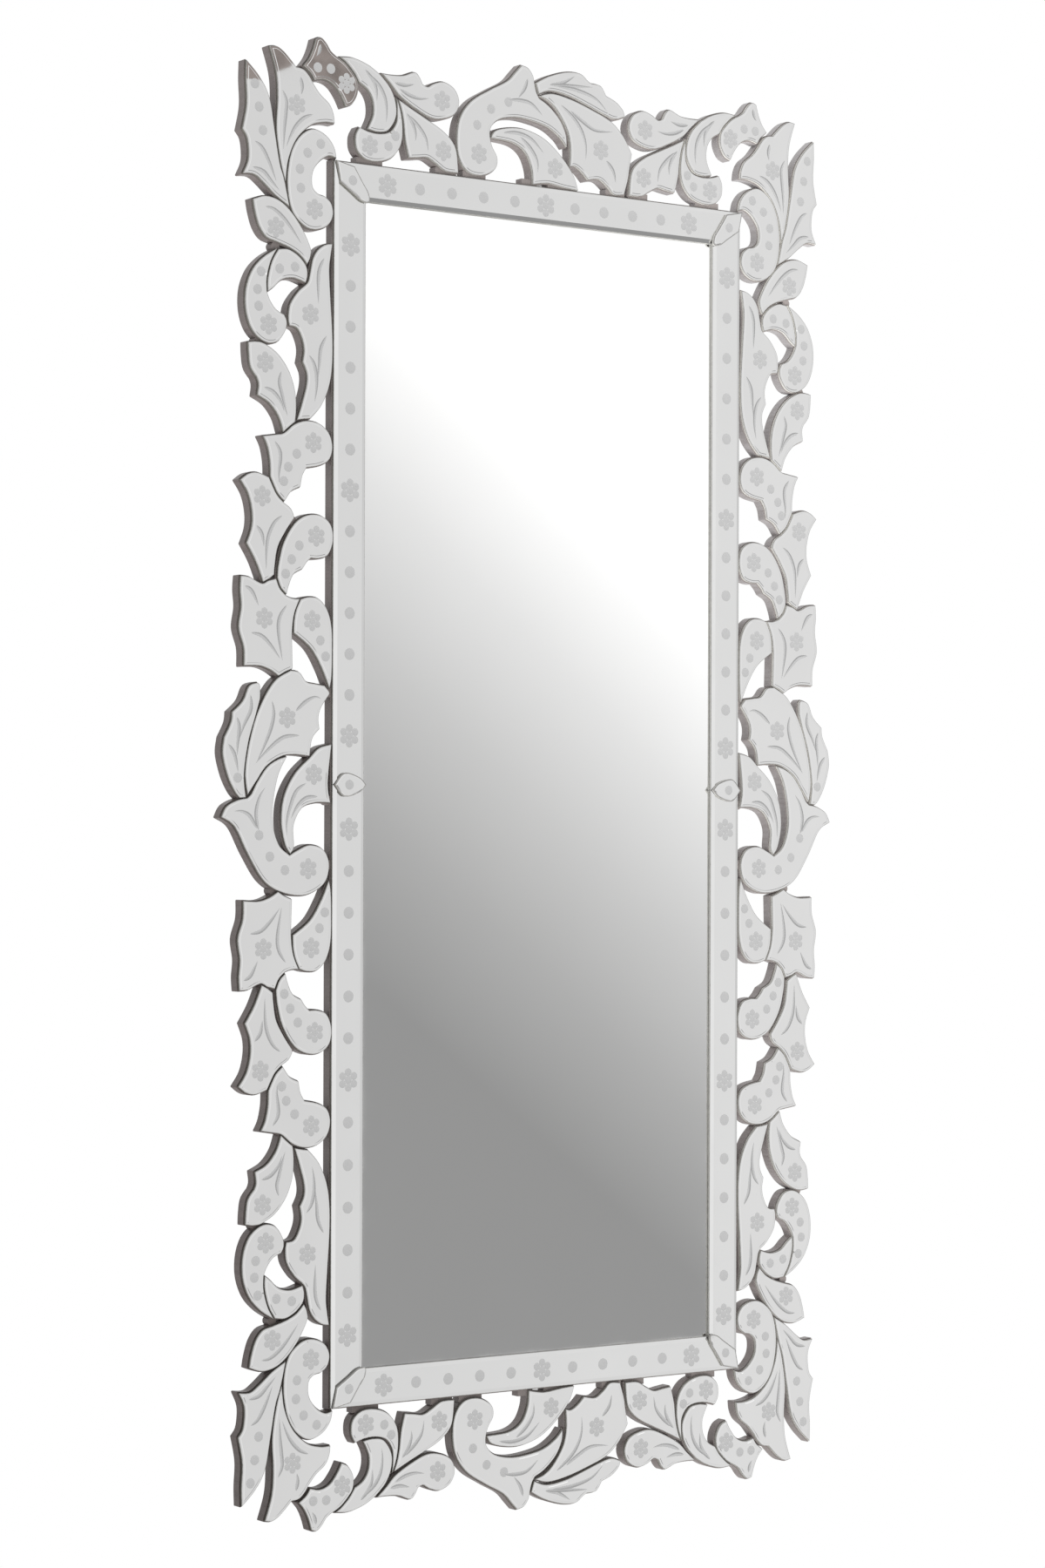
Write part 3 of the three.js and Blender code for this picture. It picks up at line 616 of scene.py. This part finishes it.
def level_line(ring, width):
    """Points inside the outline that are one width away from its nearest edge."""
    moved = moved_in(ring, width)
    away = distance_to_edges(moved, *closed_edges(ring))
    return moved[away > width - LEVEL_SLACK]


# Ground marks, each an outline, the deeper points inside it and its kind of surface


def dot(centre, radius):
    inside = [(centre, MARK_DEPTH)]
    for share, depth, sides in DOT_RINGS:
        inside.extend((point, MARK_DEPTH * depth) for point in circle(centre, radius * share, sides))
    return circle(centre, radius), inside, GROUND


def flower(centre, scale=1.0):
    """An eye and a ring of petals, the first one straight up."""
    turns = np.arange(PETAL_COUNT) / PETAL_COUNT
    petals = centre + PETAL_REACH * scale * np.exp(2j * math.pi * turns + 0.5j * math.pi)
    eye = dot(centre, FLOWER_EYE * scale)
    return [eye, *[dot(petal, PETAL_RADIUS * scale) for petal in petals]]


def stroke(line, left, right):
    """Outline of a stroke along a line, between its two sides."""
    return counter_clockwise(np.concatenate([line[:1], right[1:-1], line[-1:], left[1:-1][::-1]]))


def vein(path):
    """A ground stroke that swells soon after its start and tapers to a point, with painted shade on its
    outer side.
    """
    line = smooth_line(to_plane(path), VEIN_SPACING)
    ahead = np.gradient(line)
    bend = np.angle(ahead[1:] / ahead[:-1]).sum()
    outward = -1j * ahead / np.abs(ahead) * (1 if bend > 0 else -1)
    share = np.linspace(0, 1, len(line))
    swell = np.sin(math.pi * share**VEIN_LEAD) ** VEIN_FULLNESS
    half = VEIN_WIDTH / 2 * swell
    outer = line + outward * half
    inside = [(point, MARK_DEPTH * depth) for point, depth in zip(line[1:-1], swell[1:-1])]
    ground = (stroke(line, line - outward * half, outer), inside, GROUND)
    shade = (stroke(line, line + outward * half * SHADE_START, outer), [], SHADE)
    return [ground, shade]


def leaf_marks(leaf):
    marks = [dot(complex(*centre), DOT_RADIUS) for centre in DOTS.get(leaf, [])]
    if leaf in FLOWERS:
        marks.extend(flower(complex(*FLOWERS[leaf])))
    for path in VEINS.get(leaf, []):
        marks.extend(vein(path))
    return marks


def strip_marks(flowers, dot_count, middle, along):
    """Flowers on the middle line of a strip, with dots evenly spaced between them."""
    marks = []
    for start, end in zip(flowers, flowers[1:]):
        for i in range(dot_count):
            reach = start + (end - start) * (i + 1) / (dot_count + 1)
            marks.append(dot(middle + along * reach, STRIP_DOT_RADIUS))
    for reach in flowers:
        marks.extend(flower(middle + along * reach, STRIP_FLOWER_SCALE))
    return marks


# Solid forms, each a list of corner points, faces and kinds of face


def in_space(point, level):
    """Place in metres of a point of the flat outlines, at a level out from the wall."""
    return (point.real * MM, -level * MM, point.imag * MM)


def glass_layout(ring, inner_points, marks):
    """All points of a glass face, how deep each is ground in, and the closed loops among them."""
    points = [*ring, *inner_points]
    depths = [0.0] * len(points)
    loops = [list(range(len(ring)))]
    for outline, inside, _ in marks:
        first = len(points)
        loops.append(list(range(first, first + len(outline))))
        points.extend(outline)
        depths.extend([0.0] * len(outline))
        points.extend(point for point, _ in inside)
        depths.extend(depth for _, depth in inside)
    return points, depths, loops


def surface_kind(last_loop, nearest, bevel, marks):
    """Kind of the last mark that a triangle lies in, or of the band of the edge that it lies in."""
    if last_loop > 0:
        _, _, kind = marks[last_loop - 1]
        return kind
    distances, _, kinds = zip(*bevel)
    return kinds[np.searchsorted(distances, nearest, side="right") - 1]


def wall_faces(front, behind):
    """Faces of the edge between a front rim and a back rim, both counter-clockwise."""
    count = len(front)
    following = [(i + 1) % count for i in range(count)]
    return [[front[i], behind[i], behind[j], front[j]] for i, j in enumerate(following)]


def glass_form(ring, bevel_edges, inner_points, creases, bevel, back, face, marks):
    """A plate of glass with bevelled edges and marks ground into its face."""
    points, depths, loops = glass_layout(ring, inner_points, marks)
    flat = [Vector((point.real, point.imag)) for point in points]
    filled = delaunay_2d_cdt(flat, creases, loops, INSIDE_ONLY, GLASS_TOLERANCE)
    corners, _, triangles, sources, _, owners = filled
    spots = np.array([complex(*corner) for corner in corners])
    away = distance_to_edges(spots, *bevel_edges)
    distances, drops, _ = zip(*bevel)
    for distance in distances:
        away[np.abs(away - distance) < LEVEL_SLACK] = distance
    ground = np.array([max([depths[i] for i in source], default=0.0) for source in sources])
    levels = face - np.interp(away, distances, drops) - ground
    vertices = [in_space(spot, level) for spot, level in zip(spots, levels)]
    faces = [list(triangle) for triangle in triangles]
    kinds = []
    for triangle, owner in zip(triangles, owners):
        nearest = min(away[i] for i in triangle)
        kinds.append(surface_kind(max(owner), nearest, bevel, marks))
    rim = {i: index for index, source in enumerate(sources) for i in source}
    front = [rim[i] for i in range(len(ring))]
    behind = [len(vertices) + i for i in range(len(ring))]
    vertices.extend(in_space(point, back) for point in ring)
    faces.extend(wall_faces(front, behind))
    kinds.extend([EDGE] * len(ring))
    faces.append(behind[::-1])
    kinds.append(BACK)
    return np.array(vertices), faces, kinds


def bevelled_form(ring, bevel, back, face, marks):
    """A plate of glass that is bevelled all round, with points along every arris of the bevel."""
    inner = np.concatenate([level_line(ring, distance) for distance, _, _ in bevel[1:]])
    return glass_form(ring, closed_edges(ring), inner, [], bevel, back, face, marks)


def leaf_form(leaf):
    ring = ring_of_runs(OUTLINES[leaf], OUTLINE_SPACING)
    return bevelled_form(ring, TILE_BEVEL, GLASS_BACK, TILE_FACE, leaf_marks(leaf))


def strip_form(outer_left, outer_right, square_left, marks, turn, shift):
    """A border strip along the x axis with its outer edge at z = 0, then turned and moved into place."""
    outer_steps = [distance for distance, _, _ in STRIP_BEVEL]
    steps = [*outer_steps, *[STRIP_WIDTH - distance for distance in outer_steps[::-1]]]
    right_end = [complex(outer_right - inward - STRIP_JOINT, -inward) for inward in steps]
    left_inset = [0 if square_left else inward for inward in steps]
    left_end = [
        complex(outer_left + inset + STRIP_JOINT, -inward) for inset, inward in zip(left_inset, steps)
    ]
    outline = np.array([*left_end, *right_end[::-1]])
    starts = np.array([left_end[0], left_end[-1] - STRIP_WIDTH])
    ends = np.array([right_end[0], right_end[-1] + STRIP_WIDTH])
    ring = counter_clockwise(outline * turn + shift)
    edges = (starts * turn + shift, ends * turn + shift)
    creases = [(i, len(ring) - 1 - i) for i in range(1, len(steps) - 1)]
    return glass_form(ring, edges, [], creases, STRIP_BEVEL, GLASS_BACK, STRIP_FACE, marks)


def end_strip_form(flowers):
    middle = 1j * (BORDER_HEIGHT / 2 - STRIP_WIDTH / 2)
    marks = strip_marks(flowers, END_STRIP_DOTS, middle, 1)
    half = BORDER_WIDTH / 2
    return strip_form(-half, half, False, marks, 1, 1j * BORDER_HEIGHT / 2)


def side_strip_form(flowers):
    middle = STRIP_WIDTH / 2 - BORDER_WIDTH / 2
    marks = strip_marks(flowers, SIDE_STRIP_DOTS, middle, 1j)
    return strip_form(0, BORDER_HEIGHT / 2, True, marks, 1j, -BORDER_WIDTH / 2)


def other_half(points):
    """The points on the other side of a clip's middle line, in reverse order."""
    return [(along, -half) for along, half in points[::-1]]


def clip_form(runs, turn, shift, dot_centre):
    ring = counter_clockwise(ring_of_runs(runs, CLIP_SPACING) * turn + shift)
    marks = [dot(dot_centre, DOT_RADIUS)]
    return bevelled_form(ring, CLIP_BEVEL, CLIP_BACK, CLIP_FACE, marks)


def corner_clip_form():
    leg = [CLIP_WAIST, CLIP_SHIN]
    runs = [
        [(0, 0)],
        [CLIP_SHOULDER, *leg, (CLIP_TOE, 0), *other_half(leg)],
        other_half([CLIP_SHOULDER]),
    ]
    corner = complex(-BORDER_WIDTH / 2, BORDER_HEIGHT / 2)
    dot_centre = corner + complex(STRIP_WIDTH, -STRIP_WIDTH) / 2
    return clip_form(runs, np.exp(-0.25j * math.pi), corner, dot_centre)


def side_clip_form():
    upper = [SIDE_CLIP_BELLY, SIDE_CLIP_WAIST]
    runs = [[(0, 0), *upper], [(STRIP_WIDTH, 0), *other_half(upper)]]
    edge = -BORDER_WIDTH / 2
    return clip_form(runs, 1, edge, edge + SIDE_CLIP_DOT)


def plate_size():
    trim = PLATE_OVERLAP - STRIP_WIDTH
    return BORDER_WIDTH / 2 + trim, BORDER_HEIGHT / 2 + trim


def mirror_plate_form():
    return bevelled_form(centred_rectangle(*plate_size()), PLATE_BEVEL, PLATE_BACK, PLATE_FACE, [])


def flipped(form, across, over):
    """A copy flipped left to right, top to bottom, or both."""
    vertices, faces, kinds = form
    sides = np.array([-1 if across else 1, 1, -1 if over else 1])
    turned = [face[::-1] for face in faces] if across != over else faces
    return vertices * sides, turned, kinds


# Backing board, worked out as the union of many overlapping outlines


def flipped_ring(ring, across, over):
    turned = -np.conj(ring) if across else ring
    turned = np.conj(turned) if over else turned
    return counter_clockwise(turned)


def board_outlines():
    foot = BORDER_HEIGHT / 2

    def tongue(ends):
        return rectangle(*ends, foot - TONGUE_FOOT, foot + TONGUE_RISE)

    def leaves_of(groups):
        names = [leaf for group in groups.values() for leaf in group]
        return [grown(ring_of_runs(OUTLINES[leaf], BOARD_SPACING), BOARD_LEDGE) for leaf in names]

    def webs_of(centres):
        return [circle(complex(*centre), WEB_RADIUS + BOARD_LEDGE) for centre in centres]

    quarter = [*leaves_of(QUARTER_GROUPS), *map(tongue, QUARTER_TONGUES), *webs_of(QUARTER_WEBS)]
    side = [*leaves_of(SIDE_GROUPS), *webs_of(SIDE_WEBS)]
    top = [*leaves_of(TOP_GROUPS), *map(tongue, TOP_TONGUES)]
    outlines = [centred_rectangle(BORDER_WIDTH / 2 + BOARD_LEDGE, BORDER_HEIGHT / 2 + BOARD_LEDGE)]
    for rings, copies in [(quarter, QUARTERS), (side, SIDES), (top, ENDS)]:
        outlines.extend(flipped_ring(ring, *flips) for ring in rings for flips in copies.values())
    return outlines


def slot_outlines(x):
    """Mouth and neck of a keyhole slot."""
    mouth = complex(x, SLOT_Z)
    neck_end = mouth + 1j * SLOT_RISE
    half = SLOT_NECK / 2
    neck = rectangle(x - half, x + half, SLOT_Z, SLOT_Z + SLOT_RISE)
    return [circle(mouth, SLOT_HEAD / 2), circle(neck_end, half), neck]


def board_form():
    """The board's front and back, and walls wherever the levels of neighbouring triangles differ."""
    outlines = board_outlines()
    pocket = centred_rectangle(*(size + POCKET_CLEARANCE for size in plate_size()))
    slots = [*slot_outlines(-SLOT_X), *slot_outlines(SLOT_X)]
    pocket_label = len(outlines)
    points, loops = [], []
    for ring in [*outlines, pocket, *slots]:
        loops.append(list(range(len(points), len(points) + len(ring))))
        points.extend(Vector((point.real, point.imag)) for point in ring)
    filled = delaunay_2d_cdt(points, [], loops, INSIDE_ONLY, BOARD_TOLERANCE)
    corners, _, triangles, _, _, owners = filled
    vertices, known, faces, kinds = [], {}, [], []

    def corner_at(index, level):
        key = (index, level)
        if key not in known:
            known[key] = len(vertices)
            vertices.append(in_space(complex(*corners[index]), level))
        return known[key]

    def add(face_corners, kind):
        faces.append([corner_at(index, level) for index, level in face_corners])
        kinds.append(kind)

    sides = {}
    for triangle, owner in zip(triangles, owners):
        if not any(label < pocket_label for label in owner):
            continue
        front = POCKET_FLOOR if pocket_label in owner else BOARD_FACE
        back = SLOT_DEPTH if any(label > pocket_label for label in owner) else 0
        add([(index, front) for index in triangle], FACE)
        add([(index, back) for index in triangle[::-1]], BACK)
        for start, end in zip(triangle, [*triangle[1:], triangle[0]]):
            sides[start, end] = (back, front)
    for (start, end), (back, front) in sides.items():
        other_back, other_front = sides.get((end, start), (back, back))
        for high, low in [(front, other_front), (other_back, back)]:
            if high > low:
                add([(start, high), (start, low), (end, low), (end, high)], EDGE)
    return np.array(vertices), faces, kinds


# Pieces of the visual model


def crease(mesh):
    """Shade smoothly, but keep every arris and sharp corner crisp."""
    shape = bmesh.new()
    shape.from_mesh(mesh)
    for face in shape.faces:
        face.smooth = True
    for edge in shape.edges:
        kinds = {face.material_index for face in edge.link_faces}
        edge.smooth = len(kinds) == 1 and edge.calc_face_angle(math.pi) < SHARP_ANGLE
    shape.to_mesh(mesh)
    shape.free()


def add_piece(name, forms, node, materials):
    vertices, faces, kinds = [], [], []
    for form_vertices, form_faces, form_kinds in forms:
        first = len(vertices)
        vertices.extend(map(tuple, form_vertices))
        faces.extend([first + index for index in face] for face in form_faces)
        kinds.extend(form_kinds)
    mesh = bpy.data.meshes.new(name)
    mesh.from_pydata(vertices, [], faces)
    for material in materials:
        mesh.materials.append(material)
    mesh.polygons.foreach_set("material_index", kinds)
    crease(mesh)
    piece = bpy.data.objects.new(name, mesh)
    bpy.context.collection.objects.link(piece)
    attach(piece, "root")
    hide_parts(node)


def add_copies(name, forms, copies, materials):
    for ending, flips in copies.items():
        node = f"{name}_{ending}"
        turned = [flipped(form, *flips) for form in forms]
        add_piece(f"{node}_glass", turned, node, materials)


# Shader nodes


def set_inputs(node, **values):
    for name, value in values.items():
        node.inputs[name.replace("_", " ")].default_value = value


def add_node(tree, kind, **values):
    node = tree.nodes.new(f"ShaderNode{kind}")
    set_inputs(node, **values)
    return node


def add_range(tree, factor, low, high, to_low=0.0, to_high=1.0):
    """The factor, with its range from low to high spread evenly over another one."""
    spread = add_node(tree, "MapRange", From_Min=low, From_Max=high, To_Min=to_low, To_Max=to_high)
    tree.links.new(factor, spread.inputs["Value"])
    return spread.outputs["Result"]


def add_ramp(tree, factor, stops):
    """Colour that runs through the stops as the factor rises."""
    ramp = add_node(tree, "ValToRGB")
    elements = ramp.color_ramp.elements
    while len(elements) < len(stops):
        elements.new(0.5)
    for element, (position, colour) in zip(elements, stops):
        element.position = position
        element.color = (*colour, 1)
    tree.links.new(factor, ramp.inputs["Fac"])
    return ramp.outputs["Color"]


def add_slope(tree, slope):
    """A value that rises steadily along a slope, in the coordinates of the object."""
    along = add_node(tree, "VectorMath")
    along.operation = "DOT_PRODUCT"
    along.inputs[1].default_value = slope
    tree.links.new(add_node(tree, "TexCoord").outputs["Object"], along.inputs[0])
    return along.outputs["Value"]


def grey(value):
    return (value, value, value)


def grey_stops(stops):
    return [(position, grey(value)) for position, value in stops]


# Materials


def add_noise(tree, scale, detail, stretch=(1, 1, 1)):
    mapping = add_node(tree, "Mapping", Scale=stretch)
    texture = add_node(tree, "TexNoise", Scale=scale, Detail=detail)
    tree.links.new(add_node(tree, "TexCoord").outputs["Object"], mapping.inputs["Vector"])
    tree.links.new(mapping.outputs["Vector"], texture.inputs["Vector"])
    return texture.outputs["Fac"]


def add_painted_light_drift(tree, noise):
    """The noise weakened, with painted light added to it: a slow rise across the whole mirror towards its
    upper right.
    """
    total = add_node(tree, "Math")
    tree.links.new(add_slope(tree, PAINTED_LIGHT_DRIFT), total.inputs[0])
    tree.links.new(add_range(tree, noise, *NOISE_RANGE, *DRIFT_NOISE), total.inputs[1])
    return total.outputs["Value"]


def new_surface(name, noise, stops, roughness, painted_light=False, haze=None, grain=None, metallic=0.0):
    """A material whose colour and roughness follow a noise.

    Every noise has a scale, a detail and perhaps a stretch. The colour may carry painted light, growing
    lighter across the mirror towards its upper right; the roughness may have a haze of its own, and a grain
    is a noise, a strength and a depth.
    """
    material = bpy.data.materials.new(name)
    material.use_nodes = True
    tree = material.node_tree
    shader = tree.nodes["Principled BSDF"]
    set_inputs(shader, Metallic=metallic)
    mottle = add_noise(tree, *noise)
    # Painted light: the colour grows lighter towards the upper right of the mirror
    factor = add_painted_light_drift(tree, mottle) if painted_light else mottle
    tree.links.new(add_ramp(tree, factor, stops), shader.inputs["Base Color"])
    rough = add_noise(tree, *haze) if haze else mottle
    tree.links.new(add_range(tree, rough, *NOISE_RANGE, *roughness), shader.inputs["Roughness"])
    if grain:
        grain_noise, strength, depth = grain
        bump = add_node(tree, "Bump", Strength=strength, Distance=depth)
        tree.links.new(add_noise(tree, *grain_noise), bump.inputs["Height"])
        tree.links.new(bump.outputs["Normal"], shader.inputs["Normal"])
    return material


def two_tone(dark, light):
    return list(zip(NOISE_RANGE, (dark, light)))


def mirror_face(name, dull, bright):
    """Silvered glass, with a faint unevenness of the silver and a trace of haze."""
    stops = two_tone(dull, bright)
    return new_surface(name, (7.0, 4.0), stops, (0.01, 0.025), haze=(26.0, 4.0), metallic=1.0)


def polished_bevel():
    stops = two_tone((0.93, 0.93, 0.925), (0.97, 0.97, 0.965))
    return new_surface("polished_bevel", (18.0, 4.0), stops, (0.02, 0.05), haze=(60.0, 4.0), metallic=1.0)


def ground_glass():
    noise = (900.0, 2.0)
    stops = grey_stops([(0.35, 0.332), (0.8, 0.385)])
    grain = (noise, 0.05, 0.0001)
    # Painted light: the frosted marks grow lighter towards the upper right of the mirror
    return new_surface("ground_glass", noise, stops, (0.5, 0.65), painted_light=True, grain=grain)


def ground_shade():
    """Painted shade on the outer side of a vein's groove."""
    return new_surface("ground_shade", (700.0, 2.0), two_tone(grey(0.22), grey(0.26)), (0.45, 0.6))


def ground_rim():
    """The narrow rim where the bevel meets the edge, through which the dark edge shows; its dark tone is
    also painted shade of the gap at the glass's edge.
    """
    stops = two_tone((0.17, 0.165, 0.16), (0.28, 0.275, 0.265))
    return new_surface("ground_rim", (300.0, 4.0), stops, (0.2, 0.45))


def glass_edge():
    """Cut glass, streaked along its edge, with a painted reflection that makes it nearly white towards the
    upper right.
    """
    stops = [(0.1, (0.05, 0.048, 0.04)), (0.45, (0.22, 0.215, 0.19)), (0.8, (0.85, 0.84, 0.8))]
    return new_surface("glass_edge", (220.0, 5.0, (1, 6, 1)), stops, (0.05, 0.15), painted_light=True)


def silver_backing():
    stops = two_tone((0.16, 0.15, 0.15), (0.24, 0.23, 0.22))
    return new_surface("silver_backing", (40.0, 4.0), stops, (0.5, 0.7))


def board_face():
    stops = [(0.1, (0.04, 0.03, 0.027)), (0.9, (0.3, 0.27, 0.26))]
    grain = ((700.0, 4.0), 0.15, 0.0003)
    # Painted light: the board face seen in the seams grows paler towards the upper right of the mirror
    return new_surface("board_face", (60.0, 6.0), stops, (0.55, 0.75), painted_light=True, grain=grain)


def board_edge():
    """Cut fibreboard under thin brown paint, streaked across its thickness, with painted light that makes
    it paler towards the upper right.
    """
    streaks = (240.0, 6.0, (1, 0.12, 1))
    stops = [(0.1, (0.066, 0.048, 0.044)), (0.6, (0.265, 0.23, 0.223)), (0.9, (0.54, 0.52, 0.525))]
    grain = ((900.0, 4.0), 0.1, 0.0004)
    return new_surface("board_edge", streaks, stops, (0.22, 0.4), painted_light=True, grain=grain)


def board_back():
    stops = two_tone((0.085, 0.064, 0.056), (0.125, 0.098, 0.088))
    return new_surface("board_back", (14.0, 8.0), stops, (0.6, 0.8), grain=((500.0, 4.0), 0.2, 0.0004))


def pale_floor():
    stops = two_tone((0.80, 0.80, 0.79), (0.84, 0.84, 0.83))
    return new_surface("pale_floor", (3.0, 4.0), stops, (0.6, 0.6))


# The glass pieces differ in their silvered face and share the rest
cut_glass = [
    polished_bevel(), ground_glass(), ground_shade(), ground_rim(), glass_edge(), silver_backing(),
]
plate_glass = [mirror_face("plate_mirror", (0.945, 0.945, 0.94), (0.955, 0.955, 0.95)), *cut_glass]
strip_glass = [mirror_face("strip_mirror", (0.925, 0.925, 0.92), (0.95, 0.95, 0.945)), *cut_glass]
leaf_glass = [mirror_face("leaf_mirror", (0.915, 0.912, 0.908), (0.95, 0.948, 0.944)), *cut_glass]

# The board has only faces, edges and a back, so its face stands for every kind before the edge
dark_board = [*[board_face()] * EDGE, board_edge(), board_back()]

add_piece("board", [board_form()], "backing_board", dark_board)
add_piece("plate", [mirror_plate_form()], "mirror_plate", plate_glass)
for ending, flowers in END_STRIP_FLOWERS.items():
    strip = end_strip_form(flowers)
    add_copies("border_strip", [strip], {ending: ENDS[ending]}, strip_glass)
for ending, flowers in SIDE_STRIP_FLOWERS.items():
    strip = side_strip_form(flowers)
    add_copies("side_strip", [strip], {ending: QUARTERS[ending]}, strip_glass)
add_copies("corner_clip", [corner_clip_form()], QUARTERS, strip_glass)
add_copies("side_clip", [side_clip_form()], SIDES, strip_glass)
for groups, copies in [(QUARTER_GROUPS, QUARTERS), (SIDE_GROUPS, SIDES), (TOP_GROUPS, ENDS)]:
    for name, leaves in groups.items():
        add_copies(name, [leaf_form(leaf) for leaf in leaves], copies, leaf_glass)


# Camera and studio


def add_camera():
    data = bpy.data.cameras.new("camera")
    data.sensor_width = SENSOR
    data.lens = FOCAL_PIXELS / IMAGE_HEIGHT * SENSOR
    data.shift_y = HORIZON_BELOW_CENTRE / IMAGE_HEIGHT
    camera = bpy.data.objects.new("camera", data)
    turn = Matrix.Rotation(-CAMERA_YAW, 4, "Z")
    tilt = Matrix.Rotation(math.pi / 2, 4, "X")
    roll = Matrix.Rotation(CAMERA_ROLL, 4, "Z")
    camera.matrix_world = Matrix.Translation(CAMERA_PLACE) @ turn @ tilt @ roll
    bpy.context.collection.objects.link(camera)
    bpy.context.scene.camera = camera


def add_card(name, corners, material):
    mesh = bpy.data.meshes.new(name)
    mesh.from_pydata(corners, [], [range(len(corners))])
    mesh.materials.append(material)
    card = bpy.data.objects.new(name, mesh)
    bpy.context.collection.objects.link(card)
    return card


def add_floor():
    """A pale floor that the glass does not reflect."""
    corners = rectangle(-FLOOR_SIDE, FLOOR_SIDE, FLOOR_FRONT, FLOOR_BACK)
    places = [(corner.real, corner.imag, FLOOR_LEVEL) for corner in corners]
    floor = add_card("floor", places, pale_floor())
    floor.visible_glossy = False
    floor.visible_shadow = False


def add_lifting_light():
    data = bpy.data.lights.new("lifting_light", "SUN")
    data.energy = LIFT_STRENGTH
    data.angle = LIFT_ANGLE
    light = bpy.data.objects.new("lifting_light", data)
    light.rotation_euler = (LIFT_TILT, 0, 0)
    light.visible_glossy = False
    bpy.context.collection.objects.link(light)


def seen_in_mirror(x, z):
    """Where a card has to be for its reflection to show at x, z on the mirror, in millimetres."""
    eye_x, eye_y, eye_z = CAMERA_PLACE
    reach = CARD_DISTANCE / -eye_y
    x, z = x * MM, z * MM
    return (x + (x - eye_x) * reach, -CARD_DISTANCE, z + (z - eye_z) * reach)


def glowing_material(name):
    """A material that only gives off light, with its node tree and the input for its colour."""
    material = bpy.data.materials.new(name)
    material.use_nodes = True
    tree = material.node_tree
    tree.nodes.remove(tree.nodes["Principled BSDF"])
    light = add_node(tree, "Emission")
    tree.links.new(light.outputs["Emission"], tree.nodes["Material Output"].inputs["Surface"])
    return material, tree, light.inputs["Color"]


def add_reflected_card(name, outline, material):
    """A card that shows only in the glass, given by its outline there."""
    card = add_card(name, [seen_in_mirror(x, z) for x, z in outline], material)
    card.visible_camera = False
    card.visible_diffuse = False


def add_gradient_card():
    """A card with a soft gradient, shown by the plain mirror in the middle."""
    material, tree, colour = glowing_material("gradient_card")
    middle = Vector(seen_in_mirror(0, 0))
    step_x = seen_in_mirror(1, 0)[0] - middle.x
    step_z = seen_in_mirror(0, 1)[2] - middle.z
    slope = Vector((GRADIENT_LEAN / step_x, 0, 1 / step_z))
    offset = slope.dot(middle)
    share = add_range(tree, add_slope(tree, slope), offset + GRADIENT_LOW, offset + GRADIENT_HIGH)
    tree.links.new(add_ramp(tree, share, grey_stops(GRADIENT_STOPS)), colour)
    ring = centred_rectangle(BORDER_WIDTH / 2 - STRIP_WIDTH, BORDER_HEIGHT / 2 - STRIP_WIDTH)
    add_reflected_card("gradient_card", [(point.real, point.imag) for point in ring], material)


def add_dark_card():
    material, tree, colour = glowing_material("dark_card")
    texture = add_node(tree, "TexNoise", Scale=DARK_CARD_NOISE)
    stops = [(position, [share * part for part in DARK_CARD_COLOUR]) for position, share in DARK_CARD_STOPS]
    tree.links.new(add_ramp(tree, texture.outputs["Fac"], stops), colour)
    add_reflected_card("dark_card", DARK_CARD, material)


def add_world():
    """White to the camera; to the glass a soft room, brighter on the left and with a dim band low down."""
    world = bpy.data.worlds.new("studio")
    bpy.context.scene.world = world
    world.use_nodes = True
    tree = world.node_tree
    split = add_node(tree, "SeparateXYZ")
    tree.links.new(add_node(tree, "TexCoord").outputs["Generated"], split.inputs["Vector"])

    def ramp_along(axis, stops):
        return add_ramp(tree, add_range(tree, split.outputs[axis], -1, 1), grey_stops(stops))

    room = add_node(tree, "Mix", Factor=1)
    room.data_type = "RGBA"
    room.blend_type = "MULTIPLY"
    tree.links.new(ramp_along("X", ROOM_ACROSS), room.inputs[MIX_FIRST])
    tree.links.new(ramp_along("Z", ROOM_UP), room.inputs[MIX_SECOND])
    shown = add_node(tree, "Mix")
    shown.data_type = "RGBA"
    shown.inputs[MIX_SECOND].default_value = (1, 1, 1, 1)
    tree.links.new(add_node(tree, "LightPath").outputs["Is Camera Ray"], shown.inputs["Factor"])
    tree.links.new(room.outputs[MIX_RESULT], shown.inputs[MIX_FIRST])
    tree.links.new(shown.outputs[MIX_RESULT], tree.nodes["Background"].inputs["Color"])


add_camera()
add_floor()
add_lifting_light()
add_gradient_card()
add_dark_card()
add_world()
bpy.context.scene.view_settings.view_transform = "Standard"
